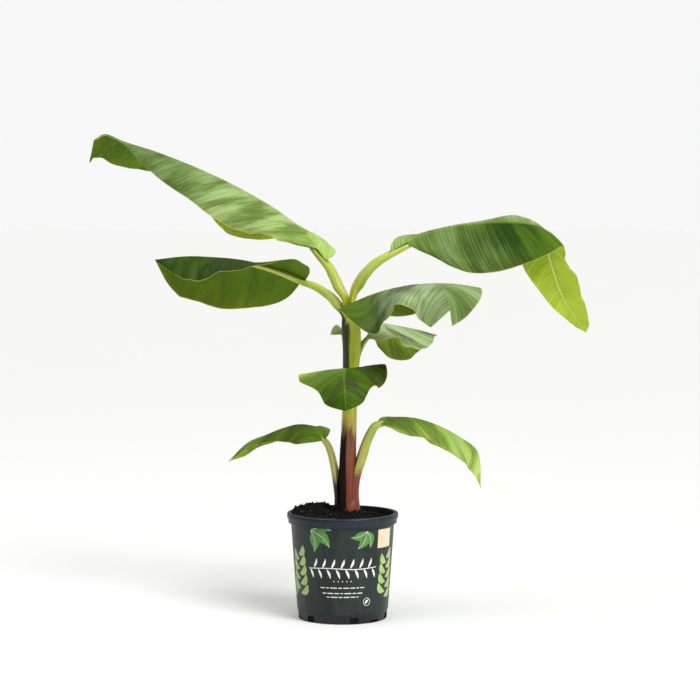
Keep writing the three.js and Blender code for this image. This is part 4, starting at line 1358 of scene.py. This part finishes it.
# Colours up the stem, and where its left side is deep green, partly the sheath's own colour
# and partly painted shade, or dry and black: heights, the side there as a cosine from +X,
# and how softly it ends.
STEM_BANDS = (
    (196, "maroon"), (255, "maroon"), (300, "brown"), (338, "brown"), (360, "olive"),
    (392, "bright"), (600, "bright"),
)
DEEP_GREEN_AND_SHADE = {
    "from": (378, 400), "heights": (396, 500, 530, 580), "sides": (-0.15, -0.25, -0.1, -1.1), "soft": 0.12,
}
DRY = {"from": (352, 334), "heights": (250, 300), "sides": (0.02, -0.12), "soft": 0.22, "most": 0.97}


def sheath_relief(z, degrees, step):
    """Height of the overlapping sheaths over the stem: a step at an edge, then a slow fall."""
    relief = np.zeros(np.broadcast(z, degrees).shape)
    for low, low_side, high, high_side in SHEATH_EDGES:
        side = low_side + (high_side - low_side) * (z - low) / (high - low)
        turn = (degrees - side) % 360
        there = smoothstep(*(low + away for away in SHEATH["below"]), z)
        there = there * smoothstep(*(high + away for away in SHEATH["above"]), z)
        relief = relief + step * there * np.exp(-turn / SHEATH["fall"]) * (turn < SHEATH["reach"])
    return relief


def bark_wave(z, degrees, waves=BARK_WAVES):
    """How far the bark's bands rise at a height and side of the stem."""
    return sum(size * np.sin(np.radians(degrees) * lobes + z / pitch) for size, lobes, pitch in waves)


def stem_dryness(z, degrees):
    """How dry and black the old sheath is at a height and side of the stem."""
    edge = np.interp(z, DRY["heights"], DRY["sides"])
    left = smoothstep(edge, edge - DRY["soft"], np.cos(np.radians(degrees)))
    return smoothstep(*DRY["from"], z + bark_wave(z, degrees)) * left


def stem_colours(sizes, z, degrees):
    """Colour of the stem at a height and side: maroon foot, brown, olive and two greens, the left partly
    painted shade.
    """
    level = z + bark_wave(z, degrees, (*BARK_WAVES, FRAYED))
    heights = [height for height, _ in STEM_BANDS]
    tints = np.array([getattr(sizes, name)[:] for _, name in STEM_BANDS])
    base = np.stack([np.interp(level, heights, tint) for tint in tints.T], -1)
    # Left side turns deep green: the sheath's own colour and painted shade.
    edge = np.interp(z, DEEP_GREEN_AND_SHADE["heights"], DEEP_GREEN_AND_SHADE["sides"])
    left = smoothstep(edge + DEEP_GREEN_AND_SHADE["soft"], edge - DEEP_GREEN_AND_SHADE["soft"], np.cos(np.radians(degrees)))
    deep = smoothstep(*DEEP_GREEN_AND_SHADE["from"], level) * left
    base = base + (np.array(sizes.deep) - base) * deep[..., None]
    return base + (np.array(sizes.black) - base) * stem_dryness(z, degrees)[..., None] * DRY["most"]


def make_stem(sizes, rows=150, columns=120, inset=0.5):
    """Stem of overlapping sheaths from its flat foot to the fork."""
    z = np.linspace(STEM["path"][0][2], STEM["path"][-1][2], rows)[:, None]
    degrees = np.linspace(0, 360, columns, endpoint=False)
    turn = np.radians(degrees)
    x, y, radius = stem_at(z)
    fibres = sum(high * np.sin(count * turn + phase) for high, count, phase in FIBRES)
    fibres = sizes.rib_height / MM * fibres
    bulk = radius - inset + fibres + sheath_relief(z, degrees, sizes.step / MM)
    points, faces = tube(stacked(x + bulk * np.cos(turn), y + bulk * np.sin(turn), z))
    item = mesh_object("stem_body", points, faces, [stem_finish(sizes)])
    store(item, "bark", capped(stem_colours(sizes, z, degrees)), "FLOAT_COLOR")
    store(item, "dry", capped(stem_dryness(z, degrees)))
    shade(item, 60)
    settle(item, "stem", "stem")


# Cross section and length of the stalks and midribs, in millimetres and shares. outer
# and inner count the points round the back and in the channel. tip is the midrib's last
# radius, sink where along the blade it draws in under it, sunk how much slimmer it is
# there, flare and draw_in how the sheath's opening changes down and up the stem, inset
# how deep it starts in the stem, thin how much lower its edges are, hollow how deep its
# channel, and hug where its wrap ends against the length that its blend takes.
STALK = {
    "step": 3.0, "end": 0.985, "outer": 17, "inner": 9, "tip": 0.9, "taper": 1.3, "sink": (-0.05, 0.08),
    "sunk": 0.22, "clear": 0.6, "channel": 0.62, "flare": 0.9, "draw_in": 0.25, "inset": 0.9,
    "rise": 0.4, "thin": 0.7, "hollow": 2.2, "hug": (0.85, 0.45), "rim": 0.7, "low_under": 300,
}
# High and low stalks: how far in degrees the section reaches round to each side, how
# soon the sheath stands off the stem, and how dry the channel and the edges are.
STALK_FORMS = {
    "high": {"wing": 116, "lead": 1, "channel": 0, "fade": (1, 0.4)},
    "low": {"wing": 135, "lead": 40, "channel": 0.5, "fade": (1, 0.85, 0.6, 0.3)},
}
# Where along a stalk its edges stop being papery, how dry and how pale they are, the
# rises of the bright midrib along the blade, and how dark its bark is against the stem's.
STALK_LOOKS = {
    "papery": (0.9, 0.3), "dry": 0.65, "pale": 0.5, "fresh": ((0.45, 0, 0.1), (0.55, 0.3, 0.65)),
    "bark": 0.8,
}


def limb_rings(rib, run, form):
    """Rings of the free stalk and of the midrib under its blade, and their heights."""
    share = (np.maximum(run, 0) - rib.stalk_length) / rib.length
    blade_share = np.clip(share, 0, 1)
    _, right, up = rib.frame(share)
    foot_radius, top_radius = rib.leaf["radius"]
    climb = np.clip(np.maximum(run, 0) / rib.stalk_length, 0, 1)
    radius = foot_radius + (top_radius - foot_radius) * climb
    midrib = STALK["tip"] + (top_radius - STALK["tip"]) * (1 - blade_share) ** STALK["taper"]
    sink = smoothstep(*STALK["sink"], share)
    radius = np.where(share > 0, midrib, radius) * (1 - STALK["sunk"] * sink)
    one, other = (np.radians(along(rib.leaf[half]["hang"], blade_share)) for half in ("left", "right"))
    below = unit(np.stack([np.sin(one) - np.sin(other), -np.cos(one) - np.cos(other)], -1))
    depth = radius / np.cos(np.abs(one + other) / 2) + STALK["clear"]
    below = below * (sink * depth)[:, None]
    centre = rib.at(share) + right * below[:, :1] + up * below[:, 1:]
    wing = math.radians(form["wing"])
    angle = wing * np.linspace(-1, 1, STALK["outer"])
    place = np.linspace(1, -1, STALK["inner"] + 2)[1:-1]
    sideways = np.concatenate([np.sin(angle), math.sin(wing) * place])
    upward = np.concatenate([-np.cos(angle), -math.cos(wing) - STALK["channel"] * (1 - place**2)])
    section = sideways[:, None] * right[:, None] + upward[:, None] * up[:, None]
    return centre[:, None] + radius[:, None, None] * section, centre[:, 2]


def sheath_rings(rib, run, level, form):
    """Rings of the sheath that wraps the stem, and the side of the stem each point is on."""
    drop, blend, spread, stand = rib.leaf["sheath"]
    heading = rib.at(np.array([0.0]))[0] - rib.dots[0]
    level = np.where(run < 0, rib.dots[0, 2] + run, level)[:, None]
    x, y, stem_radius = stem_at(level)
    opening = spread * (1 + STALK["flare"] * np.clip(-run / max(drop, 1), 0, 1))
    opening = opening * (1 - STALK["draw_in"] * smoothstep(0, blend, run))
    lift = stand * smoothstep(-drop - form["lead"], -drop * STALK["rise"], run) - STALK["inset"]
    place = np.linspace(1, -1, STALK["inner"] + 2)[1:-1]
    fan = np.concatenate([np.linspace(-1, 1, STALK["outer"]), place])
    hollow = np.repeat((0, STALK["hollow"]), (STALK["outer"], STALK["inner"]))
    around = math.atan2(heading[1], heading[0]) - fan * np.radians(opening)[:, None]
    reach = stem_radius + lift[:, None] * (1 - STALK["thin"] * fan**4) - hollow
    return stacked(x + reach * np.cos(around), y + reach * np.sin(around), level), np.degrees(around)


def stalk_edge(form):
    """How papery each point of a stalk's section is."""
    outer, fade = STALK["outer"], form["fade"]
    edge = np.repeat((0.0, form["channel"]), (outer, STALK["inner"]))
    edge[: len(fade)] = fade
    edge[outer - len(fade) : outer] = fade[::-1]
    edge[[outer, -1]] = STALK["rim"]
    return edge


def make_stalks(sizes):
    """Stalk and midrib of each leaf as one limb: a sheath that draws in to a channelled stalk."""
    stem_sizes = bpy.context.scene.banana_stem
    finish = stalk_finish(sizes)
    for name, rib in RIBS.items():
        form = STALK_FORMS["low" if rib.dots[0, 2] < STALK["low_under"] else "high"]
        drop, blend = rib.leaf["sheath"][:2]
        start = -drop - rib.leaf.get("root", 0)
        run = np.arange(start, rib.stalk_length + rib.length * STALK["end"], STALK["step"])
        limb, level = limb_rings(rib, run, form)
        sheath, sides = sheath_rings(rib, run, level, form)
        rings = sheath + (limb - sheath) * smoothstep(0, blend, run)[:, None, None]
        item = mesh_object(f"midrib_{name}", *tube(rings), [finish])
        bark = stem_colours(stem_sizes, rings[..., 2], sides) * STALK_LOOKS["bark"]
        store(item, "bark", capped(bark), "FLOAT_COLOR")
        for key, value in stalk_looks(name, rib, run, stalk_edge(form)).items():
            store(item, key, capped(np.broadcast_to(value, sides.shape)))
        shade(item, 60)
        settle(item, "stalk", f"stalk_{name}")


def stalk_looks(name, rib, run, edge):
    """How far each point of a stalk hugs the stem, is dry, is pale and is fresh."""
    share = np.clip((run - rib.stalk_length) / rib.length, 0, 1)
    hug = smoothstep(*(rib.leaf["sheath"][1] * end for end in STALK["hug"]), run)[:, None]
    papery = smoothstep(*(rib.stalk_length * end for end in STALK_LOOKS["papery"]), run)[:, None]
    fresh = sum(most * smoothstep(low, high, share) for most, low, high in STALK_LOOKS["fresh"])
    dry = (edge * papery * STALK_LOOKS["dry"] + LOOKS[name].get("dry", 0)) * (1 - hug)
    return {"hug": hug, "dry": dry, "pale": STALK_LOOKS["pale"] * edge * (1 - hug), "fresh": fresh[:, None]}


# Blades: fewest rows and columns, width of a column, how much closer rows stand at the
# ends and columns at the margin, how much thinner the margin is, and how far apart the
# seeds of the leaves are where LOOKS gives none.
BLADE = {
    "rows": 24, "columns": 8, "column": 4, "row_ease": 0.45, "column_ease": 0.1, "thinner": 0.45,
    "seed_step": 1.3,
}
# Pleats drift and swell along the blade and fade at the rib, at the margin and where it
# is narrow. Waves: height, pitch, and how the seed and the side of the rib move them.
PLEATS = {
    "drift": 1.7, "drift_pitch": 47, "swell": 0.45, "swell_pitch": 29, "wide": 45,
    "rib": (0.02, 0.2), "margin": (1.02, 0.8),
}
WAVES = {"rows": ((1, 61, 2.1, 1), (0.6, 33, 3.7, -1)), "power": 2.5, "wide": 60, "least": 0.15}


def blade_relief(rib, share, across, widths, sizes, seed):
    """Soft pleats along the side veins and waves at the margin, in millimetres."""
    s = (share * rib.length)[:, None]
    a, side = np.abs(across), np.sign(across)
    drift = PLEATS["drift"] * np.sin(s / PLEATS["drift_pitch"] + side)
    swell = PLEATS["swell"] * np.sin(s / PLEATS["swell_pitch"] + 2 * seed + side)
    pleat = np.sin(TAU * s / (sizes.pleat_pitch / MM) + drift + seed) * (1 - PLEATS["swell"] + swell)
    pleat = pleat * smoothstep(*PLEATS["rib"], a) * smoothstep(*PLEATS["margin"], a)
    pleat = pleat * sizes.pleat_height / MM * np.clip(widths / PLEATS["wide"], 0, 1)
    wave = sum(size * np.sin(TAU * s / pitch + seed * shift + way * side)
               for size, pitch, shift, way in WAVES["rows"])
    narrow = np.clip(widths / WAVES["wide"], WAVES["least"], 1)
    return pleat + wave * sizes.ripple_height / MM * a ** WAVES["power"] * narrow


def blade_places(rib, sizes):
    """Shares of a blade's rows along its rib, and of its columns from margin to margin."""
    rows = max(BLADE["rows"], int(rib.length / (sizes.station / MM)))
    step = np.linspace(0, 1, rows + 1)
    widest = max(max(rib.leaf[half]["wide"]) for half in ("left", "right"))
    half = np.linspace(0, 1, max(BLADE["columns"], int(widest / BLADE["column"])) + 1)
    half = half + BLADE["column_ease"] * np.sin(TAU * half) / TAU
    return step - BLADE["row_ease"] * np.sin(TAU * step) / TAU, np.concatenate([-half[:0:-1], half])


def facing(grid):
    """Direction out of the upper side of a blade at each point of its grid."""
    return unit(np.cross(np.gradient(grid, axis=1), np.gradient(grid, axis=0)))


def blade_looks(looks, rib, share, across, widths):
    """Values of each point of a blade for its materials, and its place on the leaf map."""
    right = (across >= 0)[None]

    def by_half(key, default=None):
        left, other = (along(looks[half].get(key, default), share)[:, None] for half in ("left", "right"))
        return np.where(right, other, left)

    values = {key: by_half(key) for key in ("age", "bloom")}
    values |= {key: along(looks[key], share)[:, None] for key in ("under", "streaks")}
    values["across"] = np.abs(across)[None]
    v = widths * across * MM
    u = share[:, None] * rib.length * MM - by_half("lean", 0) * np.abs(v)
    return values, np.stack([u, v], -1)


def make_blade(name, rib, sizes, seed):
    """Thin closed blade of one leaf, fine enough for its pleats and waves."""
    share, across = blade_places(rib, sizes)
    grid, widths = rib.surface(share, across)
    grid = grid + facing(grid) * blade_relief(rib, share, across, widths, sizes, seed)[..., None]
    thick = sizes.thickness / MM * (1 - BLADE["thinner"] * np.abs(across) ** 3)
    offset = facing(grid) * thick[None, :, None] / 2
    points, faces, sides = shell(grid + offset, grid - offset)
    looks = LOOKS[name]
    finishes = [finish(f"blade_{name}", sizes, looks, seed) for finish in (leaf_upper, leaf_under)]
    item = mesh_object(f"leaf_{name}", points, faces, finishes, sides)
    values, places = blade_looks(looks, rib, share, across, widths)
    for key, value in values.items():
        store(item, key, np.tile(np.broadcast_to(value, widths.shape).ravel(), 2))
    store_map(item, "leaf_map", np.tile(places.reshape(-1, 2), (2, 1)))
    shade(item, 60)
    return item


def make_blades(sizes):
    """Blade of each leaf. A seed tells its waves and blots from the other leaves'."""
    for number, (name, rib) in enumerate(RIBS.items()):
        item = make_blade(name, rib, sizes, LOOKS[name].get("seed", number * BLADE["seed_step"]))
        nodes = [f"blade_{name}", f"blade_{name}_tip"] if "split" in rib.leaf else [f"blade_{name}"]
        settle(item, "blade", *nodes)


# Camera: place in millimetres, tilt in degrees, focal length against the width of its
# frame, and how far it sees in metres. Lights and their aim are in metres and degrees.
CAMERA = {"place": (13.6, -4200, 763), "down": 3.66, "focal": 2293, "frame": 700, "sensor": 36.0, "end": 200}
GLOW = {"towards": (0.4, 0.1, 0.9), "range": (-0.3, 1.0)}
LAMPS = {
    "aim": (0, 0, 0.5), "sun": (1.7, -2.0, 2.6), "sun_angle": 34, "top": (-0.9, -0.6, 2.2), "top_size": 1.6,
}


def aimed(place, aim):
    """Turn of a lamp at a place so that it points at a spot."""
    x, y, z = (a - p for a, p in zip(aim, place))
    return (math.atan2(math.hypot(x, y), -z), 0, math.atan2(-x, y))


def make_surround(sizes):
    """World that looks evenly pale and lights the plant from above and behind."""
    world = bpy.data.worlds.new("pale_surround")
    world.use_nodes = True
    tree = world.node_tree
    seen = put(tree, "ShaderNodeBackground", {"Color": sizes.sky, "Strength": sizes.sky_seen})
    way = put(tree, "ShaderNodeTexCoord").outputs["Generated"]
    turned = put(tree, "ShaderNodeVectorMath", {0: way, 1: GLOW["towards"]}, operation="DOT_PRODUCT")
    bright = ramp(tree, turned.outputs["Value"], *GLOW["range"])
    strength = maths(tree, "MULTIPLY_ADD", bright, sizes.sky_light, sizes.room_light)
    lighting = put(tree, "ShaderNodeBackground", {"Color": sizes.sky, "Strength": strength})
    path = put(tree, "ShaderNodeLightPath")
    both = put(tree, "ShaderNodeMixShader",
               {0: path.outputs["Is Camera Ray"], 1: lighting.outputs[0], 2: seen.outputs[0]})
    tree.links.new(both.outputs[0], tree.nodes["World Output"].inputs["Surface"])
    return world


def make_stage(sizes):
    """Pale floor, soft studio light and the camera."""
    maker = bmesh.new()
    bmesh.ops.create_circle(maker, cap_ends=True, radius=sizes.floor_radius, segments=96)
    floor = poured("floor", maker)
    floor.data.materials.append(floor_finish(sizes))
    scene = bpy.context.scene
    scene.world = make_surround(sizes)
    sun = bpy.data.lights.new("key_light", "SUN")
    sun.energy = sizes.sun_power
    sun.angle = math.radians(LAMPS["sun_angle"])
    top = bpy.data.lights.new("top_light", "AREA")
    top.energy = sizes.top_power
    top.size = LAMPS["top_size"]
    for light, place in ((sun, LAMPS["sun"]), (top, LAMPS["top"])):
        lamp = linked(light.name, light)
        lamp.location = place
        lamp.rotation_euler = aimed(place, LAMPS["aim"])
    camera = bpy.data.cameras.new("camera")
    camera.sensor_width = CAMERA["sensor"]
    camera.lens = CAMERA["focal"] / CAMERA["frame"] * CAMERA["sensor"]
    camera.clip_end = CAMERA["end"]
    seat = linked("camera", camera)
    seat.location = [c * MM for c in CAMERA["place"]]
    seat.rotation_euler = (math.radians(90 - CAMERA["down"]), 0, 0)
    scene.camera = seat
    scene.view_settings.view_transform = "Standard"


# ---- add-on ------------------------------------------------------------------------
class BANANA_OT_pot(bpy.types.Operator):
    """Make the turned nursery pot"""

    bl_idname = "banana.pot"
    bl_label = "Pot"
    bl_options = {"REGISTER", "UNDO"}
    group = "banana_pot"

    def execute(self, context):
        make_pot(context.scene.banana_pot)
        return {"FINISHED"}


class BANANA_OT_sleeve(bpy.types.Operator):
    """Make the printed sleeve and its marks"""

    bl_idname = "banana.sleeve"
    bl_label = "Sleeve"
    bl_options = {"REGISTER", "UNDO"}
    group = "banana_pot"

    def execute(self, context):
        make_sleeve(context.scene.banana_pot)
        return {"FINISHED"}


class BANANA_OT_mix(bpy.types.Operator):
    """Make the potting mix, its bark chips and its feed beads"""

    bl_idname = "banana.mix"
    bl_label = "Potting mix"
    bl_options = {"REGISTER", "UNDO"}
    group = "banana_mix"

    def execute(self, context):
        make_mix(context.scene.banana_mix)
        return {"FINISHED"}


class BANANA_OT_stem(bpy.types.Operator):
    """Make the stem of overlapping sheaths"""

    bl_idname = "banana.stem"
    bl_label = "Stem"
    bl_options = {"REGISTER", "UNDO"}
    group = "banana_stem"

    def execute(self, context):
        make_stem(context.scene.banana_stem)
        return {"FINISHED"}


class BANANA_OT_stalks(bpy.types.Operator):
    """Make the stalk and midrib of each leaf"""

    bl_idname = "banana.stalks"
    bl_label = "Stalks and midribs"
    bl_options = {"REGISTER", "UNDO"}
    group = "banana_leaf"

    def execute(self, context):
        make_stalks(context.scene.banana_leaf)
        return {"FINISHED"}


class BANANA_OT_blades(bpy.types.Operator):
    """Make the blade of each leaf"""

    bl_idname = "banana.blades"
    bl_label = "Blades"
    bl_options = {"REGISTER", "UNDO"}
    group = "banana_leaf"

    def execute(self, context):
        make_blades(context.scene.banana_leaf)
        return {"FINISHED"}


class BANANA_OT_stage(bpy.types.Operator):
    """Make the floor, the lights and the camera"""

    bl_idname = "banana.stage"
    bl_label = "Stage"
    bl_options = {"REGISTER", "UNDO"}
    group = "banana_stage"

    def execute(self, context):
        make_stage(context.scene.banana_stage)
        return {"FINISHED"}


OPERATORS = (
    BANANA_OT_stage, BANANA_OT_pot, BANANA_OT_sleeve, BANANA_OT_mix, BANANA_OT_stem,
    BANANA_OT_stalks, BANANA_OT_blades,
)


class BANANA_PT_panel(bpy.types.Panel):
    """Sizes and pieces of the potted banana plant"""

    bl_idname = "BANANA_PT_panel"
    bl_label = "Potted Banana Plant"
    bl_space_type = "VIEW_3D"
    bl_region_type = "UI"
    bl_category = "Banana Plant"

    def draw(self, context):
        for operator in OPERATORS:
            box = self.layout.box()
            box.operator(operator.bl_idname, text=operator.bl_label)
            sizes = getattr(context.scene, operator.group)
            for name in type(sizes).__annotations__:
                box.prop(sizes, name)


CLASSES = (*SIZES.values(), *OPERATORS, BANANA_PT_panel)


def register():
    for cls in CLASSES:
        bpy.utils.register_class(cls)
    for name, cls in SIZES.items():
        setattr(bpy.types.Scene, name, PointerProperty(type=cls))


def unregister():
    for name in SIZES:
        delattr(bpy.types.Scene, name)
    for cls in reversed(CLASSES):
        bpy.utils.unregister_class(cls)


def main():
    register()
    bpy.ops.banana.stage()
    bpy.ops.banana.pot()
    bpy.ops.banana.sleeve()
    bpy.ops.banana.mix()
    bpy.ops.banana.stem()
    bpy.ops.banana.stalks()
    bpy.ops.banana.blades()


if __name__ == "__main__":
    main()
